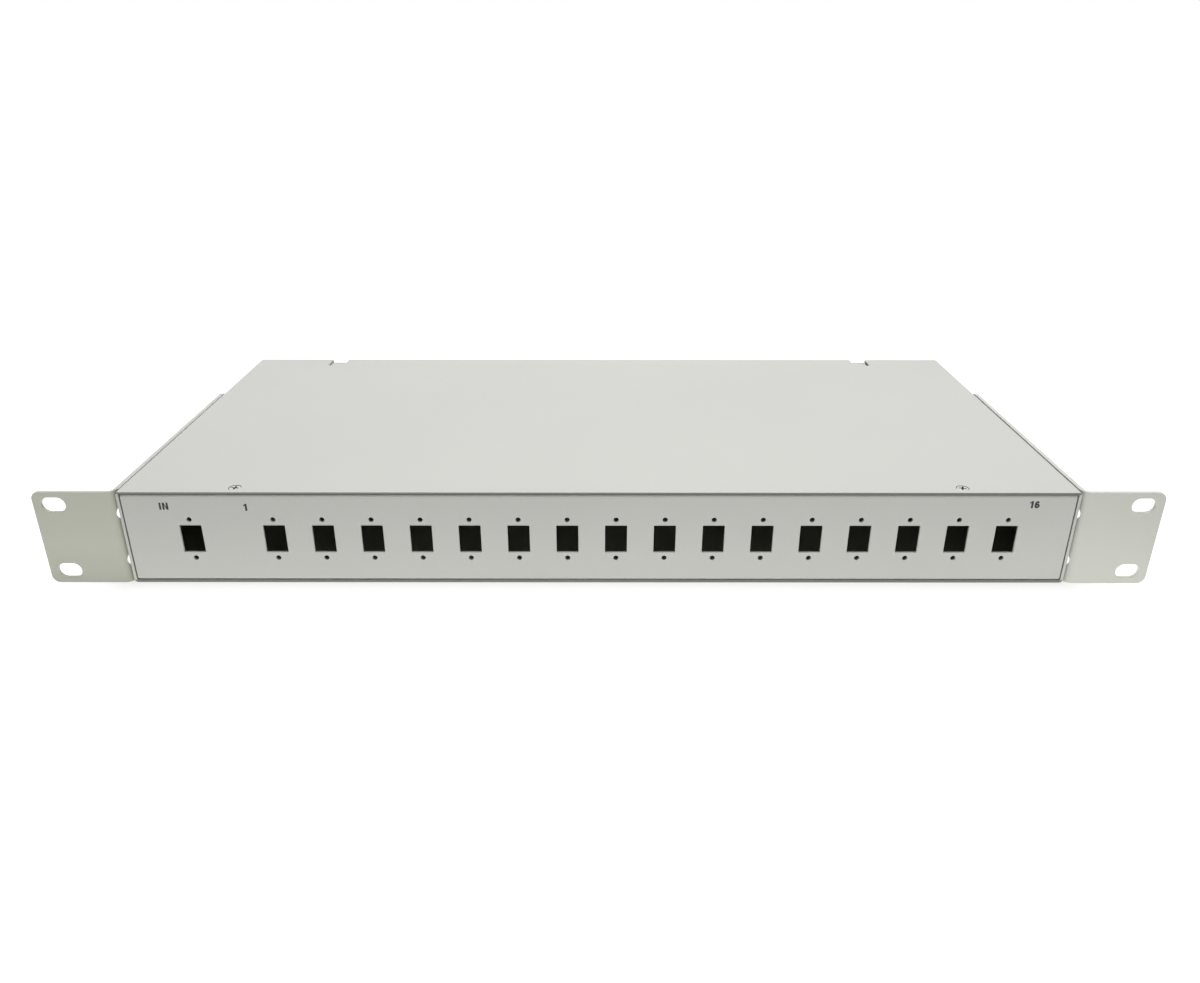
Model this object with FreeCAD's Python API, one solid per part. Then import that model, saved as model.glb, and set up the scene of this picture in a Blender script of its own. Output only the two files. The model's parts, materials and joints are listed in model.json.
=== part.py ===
# Rack-mount fibre splitter chassis, one rack unit high.
#
# Millimetres, +Z up.  X runs along the width, -Y is the front, and the origin is the
# middle of the footprint box on the plane that the chassis stands on.
# Depths inside the chassis are counted backwards from the face of the front panel.

import FreeCAD
import Part
import math
import os

from FreeCAD import Placement, Rotation, Vector

# ---------------------------------------------------------------- overall size
overall_width = 482.6          # nineteen inches over the rack ears
overall_depth = 204.0          # ear face to the end of the earth stud
ear_height = 44.0
ear_proud = 0.5                # ear face stands this far ahead of the front panel
front_y = -overall_depth / 2 + ear_proud

# ---------------------------------------------------------------- sheet metal
sheet = 1.2                    # tray and front panel
cover_sheet = 1.0
ear_sheet = 2.0
bend_inner = 0.5
bend_outer = bend_inner + sheet
overcut = 1.0                  # cutting tools run at least this far past the metal

# ---------------------------------------------------------------- base tray
case_half = 205.4              # outer face of a side wall
case_height = 43.8             # top of the cover
cover_under = case_height - cover_sheet
rear_wall_depth = 194.2        # outer face of the rear wall
rear_wall_top = 42.0
rear_wall_corner_z = 4.0       # the rear wall spreads to full width above this height
side_top = 42.6                # bare top edge at the front ends of the side walls
side_flange = 10.0             # in-turned flange under the cover
side_flange_start = 15.0
side_flange_end = 180.0
relief_gap = 1.0
relief_z = 40.0
tab_length = 11.0              # corner tabs that carry the rear wall
tab_gap = 0.1
tab_bottom = 4.0
tab_top = 37.0
fold_clearance = 0.3

# ---------------------------------------------------------------- front panel
panel_half = 203.6
panel_flange = 14.0
panel_bottom = sheet           # stands on the tray floor
panel_top = cover_under

# ---------------------------------------------------------------- adapter ports
port_pitch = 21.08
port_count = 16
last_port_x = 176.1
input_port_x = -176.1
port_z = 21.6
port_width = 9.5
port_height = 13.0
port_screw_spacing = 18.5
port_screw_r = 1.1

# ---------------------------------------------------------------- top cover
cover_half = 204.8
cover_depth = 195.4            # outer face of the rear flange
cover_flange = 12.5
notch_x = 157.0
notch_width = 9.5
notch_depth = 13.0
cover_screw_x = 156.0
cover_screw_depth = 4.9
rear_screw_x = 95.0
rear_screw_z = 36.4
rear_slot_width = 3.4

# ---------------------------------------------------------------- rack ears
ear_bend_inner = 2.0
ear_bend_outer = ear_bend_inner + ear_sheet
ear_corner_r = 3.5
ear_length = 135.0             # side flange, from the ear face backwards
ear_tail_r = 6.0
slot_x = 465.1 / 2             # rack hole columns
slot_spacing = 31.75
slot_half_width = 3.4
slot_length = 10.3
relief_hole_r = 3.6
relief_hole_depth = 4.8        # behind the ear face
relief_hole_spacing = 22.5
ear_screw_depths = (24.0, 112.0)
ear_screw_heights = (10.5, 33.5)

# ---------------------------------------------------------------- fasteners
thread_r = 1.45                # M3
thread_bore_r = 1.5
clear_hole_r = 1.7
head_r = 2.75
screw_length = 7.0
pan_head_height = 1.9
pan_head_bevel = 0.6
ring_nut_r = 3.15              # round nuts fixed behind a sheet
ring_nut_height = 1.5
nut_hole_r = 1.9               # hole in the sheet that carries such a nut
stud_past_nut = 1.6            # thread that shows above a stud's nut
hex_nut_flats = 5.5
hex_nut_height = 2.4
rivet_r = 1.6
rivet_head_r = 2.7
rivet_dome_height = 0.9
rivet_tail = 2.0               # past the sheets
rivet_cone_angle = 30.0        # of the flush head, from the sheet
panel_rivet_x = (-190.0, -64.0, 64.0, 190.0)
panel_rivet_depth = 8.0
corner_rivet_x = 198.0
corner_rivet_heights = (12.0, 26.0)

# ---------------------------------------------------------------- cable entries and earth
entry_x = 165.0
entry_z = 16.0
entry_hole_r = 10.0
grommet_bore_r = 6.0
grommet_lip_r = 12.5
grommet_lip = 1.9
earth_x = 125.0
earth_z = 14.0
earth_stud_r = 2.0             # M4, where it is pressed through the wall
earth_thread_r = 1.8           # free thread beyond the nut
earth_thread_bevel = 0.5
earth_head_r = 3.1
earth_head_height = 1.2
earth_washer_r = 4.0           # over the tips of its teeth
earth_washer_root_r = 3.2
earth_washer = 0.9
washer_teeth = 10
washer_tooth_width = 1.2
washer_clearance = 0.15
earth_nut_flats = 7.0
earth_nut_height = 3.2

# ---------------------------------------------------------------- splitter module
module_x = -98.0
module_depth = 136.0
module_length = 100.0
module_width = 80.0
module_height = 10.0
module_wall = 2.0
module_lid = 1.8
module_corner_r = 3.0
module_hole_inset = 5.0
module_boss_r = 4.0
lid_rib_depth = 1.0            # two ribs under the lid that drop inside the long walls
lid_rib_width = 1.2
lid_rib_length = 76.0
lid_clearance = 0.2
stud_clear_r = 1.7
input_boot_z = sheet + module_wall + 2.6
input_boot_r = 2.0
input_boot_collar_r = 3.2
input_boot_collar = 1.2
input_boot_tip_r = 1.5
input_boot_length = 9.0
input_boot_bore_r = 0.6
chip_offset = -8.0             # middle of the chip from the middle of the box
chip_tube_length = 42.0
chip_tube_width = 7.0
chip_tube_height = 4.0
chip_tube_wall = 0.4
chip_length = 18.0
chip_width = 4.6
chip_height = 2.0
array_length = 7.0
array_height = 2.4
input_array_width = 3.0
output_array_width = 5.4
cradle_length = 28.0
cradle_rib = 1.2
cradle_height = 2.5
comb_depth = 6.0
comb_holes = 8
comb_pitch = 3.4
comb_row_spacing = 3.1
comb_hole = 1.8                # square
comb_side_margin = 1.0
comb_block_width = comb_holes * comb_pitch + 2 * comb_side_margin

# ---------------------------------------------------------------- splice tray
tray_x = 88.0
tray_depth = 130.0
tray_length = 164.0
tray_width = 104.0
tray_height = 11.0
tray_wall = 1.6
tray_corner_r = 14.0
tray_lid = 1.2
spool_r = 24.0
spool_wall = 1.6
tray_stud_x = 52.0             # studs and spools share their centres
tray_hub_r = 4.5
tray_hub_height = 3.0
entry_gap = 12.0               # fibre entries in the front rim
entry_gap_inset = 26.0
entry_gap_sill = 1.0
splice_length = 46.0
splice_width = 36.0
splice_plate = 1.0
splice_teeth = 7
tooth_width = 1.4
tooth_height = 5.0

# ---------------------------------------------------------------- fibre clips
clip_spots = ((-192.0, 62.0), (-192.0, 168.0), (-20.0, 96.0), (-20.0, 172.0),
              (188.0, 62.0), (188.0, 168.0))
clip_base = 14.0
clip_base_height = 1.6
clip_ring_r = 8.0
clip_ring_wall = 1.5
clip_ring_width = 6.0
clip_gap = 2.4
clip_gap_angle = 30.0


# ================================================================ helpers
def at_depth(depth):
    """Y of a point this far behind the face of the front panel."""
    return front_y + depth


def block(x0, x1, y0, y1, z0, z1):
    return Part.makeBox(x1 - x0, y1 - y0, z1 - z0, Vector(x0, y0, z0))


def rod(radius, start, direction, length):
    return Part.makeCylinder(radius, length, start, direction)


def folded_face(midline, thickness, inner_radius, lift):
    """Section of a folded sheet.

    midline is a polyline in the section's own two axes, lift turns such a point into
    a 3-D one, and every corner is bent to the inner radius.
    """
    mid_radius = inner_radius + thickness / 2
    points = [Vector(u, v, 0) for u, v in midline]
    runs = []
    for here, there in zip(points, points[1:]):
        runs.append((there - here).normalize())
    bends = []
    for index in range(1, len(points) - 1):
        before = runs[index - 1]
        after = runs[index]
        turn = before.getAngle(after)
        side = 1 if before.cross(after).z > 0 else -1
        trim = mid_radius * math.tan(turn / 2)
        start = points[index] - before * trim
        end = points[index] + after * trim
        centre = start + Vector(-before.y, before.x, 0) * side * mid_radius
        bends.append((start, end, centre))

    def skin(offset):
        """Edges of one skin, from the first point of the midline to the last."""
        edges = []
        last = points[0] + Vector(-runs[0].y, runs[0].x, 0) * offset
        for index, (start, end, centre) in enumerate(bends):
            left_before = Vector(-runs[index].y, runs[index].x, 0)
            left_after = Vector(-runs[index + 1].y, runs[index + 1].x, 0)
            arc_start = start + left_before * offset
            arc_end = end + left_after * offset
            outward = ((arc_start + arc_end) * 0.5 - centre).normalize()
            arc_mid = centre + outward * (arc_start - centre).Length
            edges.append(("line", last, arc_start))
            edges.append(("arc", arc_start, arc_mid, arc_end))
            last = arc_end
        finish = points[-1] + Vector(-runs[-1].y, runs[-1].x, 0) * offset
        edges.append(("line", last, finish))
        return edges

    def solid_edge(edge):
        ends = [lift(point.x, point.y) for point in edge[1:]]
        if edge[0] == "line":
            return Part.LineSegment(*ends).toShape()
        return Part.Arc(*ends).toShape()

    left = skin(thickness / 2)
    right = skin(-thickness / 2)
    caps = [("line", right[0][1], left[0][1]), ("line", left[-1][-1], right[-1][-1])]
    edges = [solid_edge(edge) for edge in left + right + caps]
    return Part.Face(Part.Wire(Part.__sortEdges__(edges)))


def round_plate(x0, x1, y0, y1, z0, z1, radius):
    """A flat block with its four upright edges rounded."""
    plate = block(x0, x1, y0, y1, z0, z1)
    upright = [edge for edge in plate.Edges
               if abs(edge.tangentAt(edge.FirstParameter).z) > 0.99]
    return plate.makeFillet(radius, upright)


def hexagon(flats, height):
    """A hexagonal prism on the XY plane."""
    corner = flats / math.sqrt(3)
    points = []
    for step in range(7):
        angle = math.radians(60 * step)
        points.append(Vector(corner * math.cos(angle), corner * math.sin(angle), 0))
    return Part.Face(Part.makePolygon(points)).extrude(Vector(0, 0, height))


def spun(profile):
    """A turned piece from (radius, height) points, on the Z axis."""
    points = [Vector(radius, 0, height) for radius, height in profile]
    wire = Part.makePolygon(points + [points[0]])
    return Part.Face(wire).revolve(Vector(0, 0, 0), Vector(0, 0, 1), 360)


def placed(shape, position, outward):
    """A copy whose own +Z points along outward, moved to position."""
    copy = shape.copy()
    copy.Placement = Placement(position, Rotation(Vector(0, 0, 1), outward))
    return copy


def cut_all(shape, tools):
    return shape.cut(tools) if tools else shape


def mirrored(shape):
    """The same piece on the other side of the chassis."""
    return shape.mirror(Vector(0, 0, 0), Vector(1, 0, 0))


def port_positions():
    """X of the input port, then of the output ports from left to right."""
    first = last_port_x - (port_count - 1) * port_pitch
    return [input_port_x] + [first + index * port_pitch for index in range(port_count)]


# ================================================================ fasteners
def countersunk_screw():
    """M3 countersunk screw.  Its head is flush with z = 0 and its shank points down."""
    neck = thread_r - head_r
    return spun([(0, 0), (head_r, 0), (thread_r, neck), (thread_r, -screw_length),
                 (0, -screw_length)])


def countersink(thickness):
    """Tool for the hole that takes such a screw in a sheet, from z = 0 down."""
    neck = clear_hole_r - head_r
    end = -thickness - overcut
    return spun([(0, overcut), (head_r + overcut, overcut), (clear_hole_r, neck),
                 (clear_hole_r, end), (0, end)])


def pan_screw():
    """M3 pan-head screw.  It bears on z = 0 and its shank points down."""
    return spun([(0, pan_head_height), (head_r - pan_head_bevel, pan_head_height),
                 (head_r, pan_head_height - pan_head_bevel), (head_r, 0), (thread_r, 0),
                 (thread_r, -screw_length), (0, -screw_length)])


def ring_nut():
    """Round nut fixed to the far side of a sheet.  It bears on z = 0."""
    return spun([(thread_bore_r, 0), (ring_nut_r, 0), (ring_nut_r, ring_nut_height),
                 (thread_bore_r, ring_nut_height)])


def hex_nut(flats, height, bore_r):
    bore = rod(bore_r, Vector(0, 0, -overcut), Vector(0, 0, 1), height + 2 * overcut)
    return hexagon(flats, height).cut(bore)


def rivet_cone():
    """Height of the flush head's cone."""
    return (rivet_head_r - rivet_r) * math.tan(math.radians(rivet_cone_angle))


def sunk_rivet():
    """Rivet with a flush head at z = 0, through two sheets, tail upwards."""
    tail = 2 * sheet + rivet_tail
    return spun([(0, 0), (rivet_head_r, 0), (rivet_r, rivet_cone()), (rivet_r, tail),
                 (0, tail)])


def sunk_rivet_hole():
    """Tool for the hole that takes such a rivet, through both sheets."""
    top = 2 * sheet + overcut
    return spun([(0, -overcut), (rivet_head_r, -overcut), (rivet_head_r, 0),
                 (rivet_r, rivet_cone()), (rivet_r, top), (0, top)])


def domed_rivet():
    """Rivet whose head bears on z = 0 and whose tail points down."""
    tail = -2 * sheet - tab_gap - rivet_tail
    return spun([(0, rivet_dome_height), (rivet_r, rivet_dome_height), (rivet_head_r, 0),
                 (rivet_r, 0), (rivet_r, tail), (0, tail)])


# ================================================================ base tray
def tray_section(top, flange):
    """Section across the tray: floor, two walls, and in-turned flanges if wanted."""
    wall = case_half - sheet / 2
    floor = sheet / 2
    line = [(-wall, top), (-wall, floor), (wall, floor), (wall, top)]
    if flange:
        roof = cover_under - sheet / 2
        inner = case_half - flange
        line = [(-inner, roof), (-wall, roof), (-wall, floor), (wall, floor),
                (wall, roof), (inner, roof)]
    return folded_face(line, sheet, bend_inner, lambda u, v: Vector(u, front_y, v))


def tray_run(section, start, end):
    """A tray section carried from one depth to another."""
    run = section.extrude(Vector(0, end - start, 0))
    run.translate(Vector(0, start, 0))
    return run


def corner_tab():
    """The tab on the right-hand wall that turns in ahead of the rear wall."""
    wall = case_half - sheet / 2
    back = at_depth(rear_wall_depth - sheet - tab_gap - sheet / 2)
    start = back - bend_outer
    line = [(wall, start), (wall, back), (case_half - tab_length, back)]
    face = folded_face(line, sheet, bend_inner, lambda u, v: Vector(u, v, tab_bottom))
    return face.extrude(Vector(0, 0, tab_top - tab_bottom))


def rear_wall():
    """The wall folded up from the back of the floor."""
    start = at_depth(rear_wall_depth - 2 * bend_outer)
    back = at_depth(rear_wall_depth - sheet / 2)
    line = [(start, sheet / 2), (back, sheet / 2), (back, rear_wall_top)]
    inner = case_half - bend_outer - fold_clearance
    face = folded_face(line, sheet, bend_inner, lambda u, v: Vector(-inner, u, v))
    wall = face.extrude(Vector(2 * inner, 0, 0))
    wide = block(-case_half, case_half, back - sheet / 2, back + sheet / 2,
                 rear_wall_corner_z, rear_wall_top)
    return wall.fuse(wide)


def side_hole_tools():
    """Holes for the ear screws, in the right-hand wall."""
    tools = []
    for depth in ear_screw_depths:
        for height in ear_screw_heights:
            start = Vector(case_half - 2 * sheet, at_depth(depth), height)
            tools.append(rod(nut_hole_r, start, Vector(1, 0, 0), 3 * sheet))
    return tools


def rear_hole_tools():
    """Cable entries, cover nuts, earth stud and rivets in the rear wall."""
    start = at_depth(rear_wall_depth - 3 * sheet)
    back = Vector(0, 1, 0)
    tools = []
    for side in (-1, 1):
        tools.append(rod(entry_hole_r, Vector(side * entry_x, start, entry_z), back, 4 * sheet))
        nut = Vector(side * rear_screw_x, start, rear_screw_z)
        tools.append(rod(nut_hole_r, nut, back, 4 * sheet))
        for height in corner_rivet_heights:
            spot = Vector(side * corner_rivet_x, start, height)
            tools.append(rod(rivet_r, spot, back, 4 * sheet))
    tools.append(rod(earth_stud_r, Vector(earth_x, start, earth_z), back, 4 * sheet))
    return tools


def floor_hole_tools():
    """Rivet holes of the front panel."""
    spots = [Vector(x, at_depth(panel_rivet_depth), 0) for x in panel_rivet_x]
    return [placed(sunk_rivet_hole(), spot, Vector(0, 0, 1)) for spot in spots]


def base_tray():
    plain = tray_section(side_top, 0)
    flanged = tray_section(side_top, side_flange)
    low = tray_section(relief_z, 0)
    end = rear_wall_depth - sheet - tab_gap - bend_outer
    tray = tray_run(low, 0, end)
    tray = tray.fuse([
        tray_run(plain, 0, side_flange_start - relief_gap),
        tray_run(flanged, side_flange_start, side_flange_end),
        tray_run(plain, side_flange_end + relief_gap, end),
        corner_tab(),
        mirrored(corner_tab()),
        rear_wall(),
    ])
    inner = case_half - bend_outer - fold_clearance
    tray = tray.fuse(block(-inner, inner, at_depth(end), at_depth(rear_wall_depth - bend_outer),
                           0, sheet))
    right = side_hole_tools()
    left = [mirrored(tool) for tool in right]
    return cut_all(tray, right + left + rear_hole_tools() + floor_hole_tools()).removeSplitter()


# ================================================================ front panel
def front_panel():
    """Channel folded from one sheet: the face and its two return flanges."""
    face_mid = at_depth(sheet / 2)
    deep = at_depth(panel_flange)
    low = panel_bottom + sheet / 2
    high = panel_top - sheet / 2
    line = [(deep, low), (face_mid, low), (face_mid, high), (deep, high)]
    section = folded_face(line, sheet, bend_inner, lambda u, v: Vector(-panel_half, u, v))
    panel = section.extrude(Vector(2 * panel_half, 0, 0))
    tools = []
    for x in port_positions():
        tools += port_tools(x)
    through = sheet + 2 * overcut
    for x in panel_rivet_x:
        start = Vector(x, at_depth(panel_rivet_depth), panel_bottom - overcut)
        tools.append(rod(rivet_r, start, Vector(0, 0, 1), through))
    for side in (-1, 1):
        start = Vector(side * cover_screw_x, at_depth(cover_screw_depth),
                       panel_top - sheet - overcut)
        tools.append(rod(nut_hole_r, start, Vector(0, 0, 1), through))
    return cut_all(panel, tools)


def port_tools(x):
    """Cut-out of one adapter port and the two screw holes above and below it."""
    front = at_depth(-overcut)
    back = at_depth(sheet + overcut)
    tools = [block(x - port_width / 2, x + port_width / 2, front, back,
                   port_z - port_height / 2, port_z + port_height / 2)]
    for side in (-1, 1):
        start = Vector(x, front, port_z + side * port_screw_spacing / 2)
        tools.append(rod(port_screw_r, start, Vector(0, 1, 0), back - front))
    return tools


# ================================================================ top cover
def top_cover():
    """Flat cover with a rear flange and two notches across its rear bend."""
    roof = case_height - cover_sheet / 2
    back = at_depth(cover_depth - cover_sheet / 2)
    line = [(at_depth(0), roof), (back, roof), (back, case_height - cover_flange)]
    section = folded_face(line, cover_sheet, bend_inner, lambda u, v: Vector(-cover_half, u, v))
    cover = section.extrude(Vector(2 * cover_half, 0, 0))
    tools = []
    for side in (-1, 1):
        centre = side * notch_x
        tools.append(block(centre - notch_width / 2, centre + notch_width / 2,
                           at_depth(cover_depth - notch_depth), at_depth(cover_depth + overcut),
                           case_height - cover_flange - overcut, case_height + overcut))
        spot = Vector(side * cover_screw_x, at_depth(cover_screw_depth), case_height)
        tools.append(placed(countersink(cover_sheet), spot, Vector(0, 0, 1)))
        tools.append(rear_slot(side * rear_screw_x))
    return cut_all(cover, tools)


def rear_slot(x):
    """Open-ended slot that lets the rear flange drop over a screw."""
    half = rear_slot_width / 2
    start = at_depth(cover_depth - 2 * cover_sheet)
    end = at_depth(cover_depth + overcut)
    low = case_height - cover_flange - overcut
    neck = block(x - half, x + half, start, end, low, rear_screw_z)
    return neck.fuse(rod(half, Vector(x, start, rear_screw_z), Vector(0, 1, 0), end - start))


# ================================================================ rack ears
def ear_right():
    """Right-hand rack ear: an angle of thick sheet with two slots."""
    face = -overall_depth / 2
    mid_y = face + ear_sheet / 2
    mid_x = case_half + ear_sheet / 2
    line = [(overall_width / 2, mid_y), (mid_x, mid_y), (mid_x, face + ear_length)]
    section = folded_face(line, ear_sheet, ear_bend_inner, lambda u, v: Vector(u, v, 0))
    ear = section.extrude(Vector(0, 0, ear_height))
    ear = ear.makeFillet(ear_corner_r, edges_along(ear, Vector(0, 1, 0), overall_width / 2, 0))
    ear = ear.makeFillet(ear_tail_r, edges_along(ear, Vector(1, 0, 0), face + ear_length, 1))
    middle = ear_height / 2
    tools = []
    for side in (-1, 1):
        tools.append(rack_slot(middle + side * slot_spacing / 2))
        start = Vector(case_half - overcut, face + relief_hole_depth,
                       middle + side * relief_hole_spacing / 2)
        tools.append(rod(relief_hole_r, start, Vector(1, 0, 0), ear_bend_outer + 2 * overcut))
    for depth in ear_screw_depths:
        for height in ear_screw_heights:
            spot = Vector(case_half + ear_sheet, at_depth(depth), height)
            tools.append(placed(countersink(ear_sheet), spot, Vector(1, 0, 0)))
    return cut_all(ear, tools)


def edges_along(shape, direction, value, axis):
    """Straight edges with this direction that lie at a coordinate on one axis."""
    found = []
    for edge in shape.Edges:
        if not isinstance(edge.Curve, Part.Line):
            continue
        if abs(edge.tangentAt(edge.FirstParameter).dot(direction)) < 0.99:
            continue
        if abs(edge.CenterOfMass[axis] - value) < 0.01:
            found.append(edge)
    return found


def rack_slot(height):
    """Tool for one horizontal rack slot."""
    start = -overall_depth / 2 - overcut
    through = ear_sheet + 2 * overcut
    run = slot_length / 2 - slot_half_width
    middle = block(slot_x - run, slot_x + run, start, start + through,
                   height - slot_half_width, height + slot_half_width)
    ends = [rod(slot_half_width, Vector(slot_x + side * run, start, height),
                Vector(0, 1, 0), through) for side in (-1, 1)]
    return middle.fuse(ends)


def ear_screws_right():
    screws = []
    for depth in ear_screw_depths:
        for height in ear_screw_heights:
            spot = Vector(case_half + ear_sheet, at_depth(depth), height)
            screws.append(placed(countersunk_screw(), spot, Vector(1, 0, 0)))
    return Part.makeCompound(screws)


def side_nuts_right():
    nuts = []
    for depth in ear_screw_depths:
        for height in ear_screw_heights:
            spot = Vector(case_half - sheet, at_depth(depth), height)
            nuts.append(placed(ring_nut(), spot, Vector(-1, 0, 0)))
    return Part.makeCompound(nuts)


# ================================================================ cover and panel fasteners
def cover_screws():
    """The two sunk screws at the front edge of the cover."""
    spots = [Vector(side * cover_screw_x, at_depth(cover_screw_depth), case_height)
             for side in (-1, 1)]
    return Part.makeCompound([placed(countersunk_screw(), spot, Vector(0, 0, 1))
                              for spot in spots])


def cover_nuts():
    """Ring nuts under the top flange of the front panel."""
    spots = [Vector(side * cover_screw_x, at_depth(cover_screw_depth), panel_top - sheet)
             for side in (-1, 1)]
    return Part.makeCompound([placed(ring_nut(), spot, Vector(0, 0, -1)) for spot in spots])


def rear_screws():
    """Pan-head screws that clamp the rear flange of the cover."""
    spots = [Vector(side * rear_screw_x, at_depth(cover_depth), rear_screw_z)
             for side in (-1, 1)]
    return Part.makeCompound([placed(pan_screw(), spot, Vector(0, 1, 0)) for spot in spots])


def rear_nuts():
    spots = [Vector(side * rear_screw_x, at_depth(rear_wall_depth - sheet), rear_screw_z)
             for side in (-1, 1)]
    return Part.makeCompound([placed(ring_nut(), spot, Vector(0, -1, 0)) for spot in spots])


def panel_rivets():
    spots = [Vector(x, at_depth(panel_rivet_depth), 0) for x in panel_rivet_x]
    return Part.makeCompound([placed(sunk_rivet(), spot, Vector(0, 0, 1)) for spot in spots])


def corner_rivets():
    rivets = []
    for side in (-1, 1):
        for height in corner_rivet_heights:
            spot = Vector(side * corner_rivet_x, at_depth(rear_wall_depth), height)
            rivets.append(placed(domed_rivet(), spot, Vector(0, 1, 0)))
    return Part.makeCompound(rivets)


# ================================================================ cable entries and earth
def cable_grommet():
    """Open rubber grommet in the right-hand cable entry."""
    inside = -sheet - grommet_lip
    ring = spun([(grommet_bore_r, inside), (grommet_lip_r, inside), (grommet_lip_r, -sheet),
                 (entry_hole_r, -sheet), (entry_hole_r, 0), (grommet_lip_r, 0),
                 (grommet_lip_r, grommet_lip), (grommet_bore_r, grommet_lip)])
    spot = Vector(entry_x, at_depth(rear_wall_depth), entry_z)
    return placed(ring, spot, Vector(0, 1, 0))


def earth_stud():
    """M4 stud pressed through the rear wall from inside."""
    end = overall_depth / 2 - at_depth(rear_wall_depth)
    nut_face = earth_washer + earth_nut_height
    head = -sheet - earth_head_height
    stud = spun([(0, head), (earth_head_r, head), (earth_head_r, -sheet),
                 (earth_stud_r, -sheet), (earth_stud_r, nut_face), (earth_thread_r, nut_face),
                 (earth_thread_r, end - earth_thread_bevel),
                 (earth_thread_r - earth_thread_bevel, end), (0, end)])
    return placed(stud, Vector(earth_x, at_depth(rear_wall_depth), earth_z), Vector(0, 1, 0))


def earth_washer_piece():
    """Washer with teeth on its rim that bite through the paint."""
    up = Vector(0, 0, 1)
    ring = rod(earth_washer_root_r, Vector(0, 0, 0), up, earth_washer)
    half = washer_tooth_width / 2
    teeth = []
    for step in range(washer_teeth):
        tooth = block(earth_stud_r + half, earth_washer_r, -half, half, 0, earth_washer)
        tooth.rotate(Vector(0, 0, 0), up, 360 / washer_teeth * step)
        teeth.append(tooth)
    ring = ring.fuse(teeth).removeSplitter()
    ring = ring.cut(rod(earth_stud_r + washer_clearance, Vector(0, 0, -overcut), up,
                        earth_washer + 2 * overcut))
    return placed(ring, Vector(earth_x, at_depth(rear_wall_depth), earth_z), Vector(0, 1, 0))


def earth_nut():
    clearance = thread_bore_r - thread_r
    nut = hex_nut(earth_nut_flats, earth_nut_height, earth_stud_r + clearance)
    spot = Vector(earth_x, at_depth(rear_wall_depth + earth_washer), earth_z)
    return placed(nut, spot, Vector(0, 1, 0))


# ================================================================ splitter module
def module_stud_places():
    """The four studs through the corners of the splitter module."""
    across = module_length / 2 - module_hole_inset
    deep = module_width / 2 - module_hole_inset
    return [(module_x + sx * across, at_depth(module_depth) + sy * deep)
            for sx in (-1, 1) for sy in (-1, 1)]


def module_block(z0, z1):
    """A rounded block with the outline of the module."""
    half_x = module_length / 2
    half_y = module_width / 2
    y = at_depth(module_depth)
    return round_plate(module_x - half_x, module_x + half_x, y - half_y, y + half_y,
                       z0, z1, module_corner_r)


def module_hollow(z0, z1):
    """The square-cornered inside of the module."""
    half_x = module_length / 2 - module_wall
    half_y = module_width / 2 - module_wall
    y = at_depth(module_depth)
    return block(module_x - half_x, module_x + half_x, y - half_y, y + half_y, z0, z1)


def stud_rods(places, radius, z0, z1):
    return [rod(radius, Vector(x, y, z0), Vector(0, 0, 1), z1 - z0) for x, y in places]


def comb_block():
    """Block shape of the fibre comb in the module's right-hand end wall."""
    x1 = module_x + module_length / 2
    y = at_depth(module_depth)
    half = comb_block_width / 2
    return block(x1 - comb_depth, x1, y - half, y + half, sheet + module_wall,
                 sheet + module_height - module_lid)


def splitter_case():
    """Lower half of the splitter's plastic box."""
    rim = sheet + module_height - module_lid
    solid = module_block(sheet, rim)
    hollow = module_hollow(sheet + module_wall, rim + overcut)
    bosses = stud_rods(module_stud_places(), module_boss_r, sheet, rim)
    case = solid.cut(hollow).fuse([boss.common(solid) for boss in bosses])
    tools = stud_rods(module_stud_places(), stud_clear_r, 0, rim + overcut)
    tools.append(comb_block())
    tools.append(input_boot_hole())
    return cut_all(case, tools).fuse(chip_cradle()).removeSplitter()


def chip_centre():
    return Vector(module_x + chip_offset, at_depth(module_depth), sheet + module_wall)


def chip_cradle():
    """Two low ribs that hold the chip tube on the floor of the box."""
    spot = chip_centre()
    half = cradle_length / 2
    middle = (chip_tube_width + cradle_rib) / 2
    ribs = []
    for side in (-1, 1):
        y = spot.y + side * middle
        ribs.append(block(spot.x - half, spot.x + half, y - cradle_rib / 2, y + cradle_rib / 2,
                          spot.z, spot.z + cradle_height))
    return ribs


def input_boot_hole():
    x0 = module_x - module_length / 2 - overcut
    return rod(input_boot_r, Vector(x0, at_depth(module_depth), input_boot_z),
               Vector(1, 0, 0), module_wall + 2 * overcut)


def splitter_lid():
    """Flat lid with two ribs that drop inside the long walls of the box."""
    rim = sheet + module_height - module_lid
    top = sheet + module_height
    outer = module_width / 2 - module_wall - lid_clearance
    half = lid_rib_length / 2
    y = at_depth(module_depth)
    ribs = []
    for side in (-1, 1):
        near, far = sorted((y + side * outer, y + side * (outer - lid_rib_width)))
        ribs.append(block(module_x - half, module_x + half, near, far, rim - lid_rib_depth, rim))
    lid = module_block(rim, top).fuse(ribs).removeSplitter()
    return cut_all(lid, stud_rods(module_stud_places(), stud_clear_r, rim - overcut,
                                  top + overcut))


def chip_tube():
    """Rectangular steel tube round the waveguide chip."""
    spot = chip_centre()
    half_x = chip_tube_length / 2
    half_y = chip_tube_width / 2
    outer = block(spot.x - half_x, spot.x + half_x, spot.y - half_y, spot.y + half_y,
                  spot.z, spot.z + chip_tube_height)
    wall = chip_tube_wall
    inner = block(spot.x - half_x - overcut, spot.x + half_x + overcut,
                  spot.y - half_y + wall, spot.y + half_y - wall,
                  spot.z + wall, spot.z + chip_tube_height - wall)
    return outer.cut(inner)


def chip_piece(x0, length, width, height):
    """A block standing on the floor of the chip tube."""
    spot = chip_centre()
    low = spot.z + chip_tube_wall
    return block(spot.x + x0, spot.x + x0 + length, spot.y - width / 2, spot.y + width / 2,
                 low, low + height)


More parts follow.
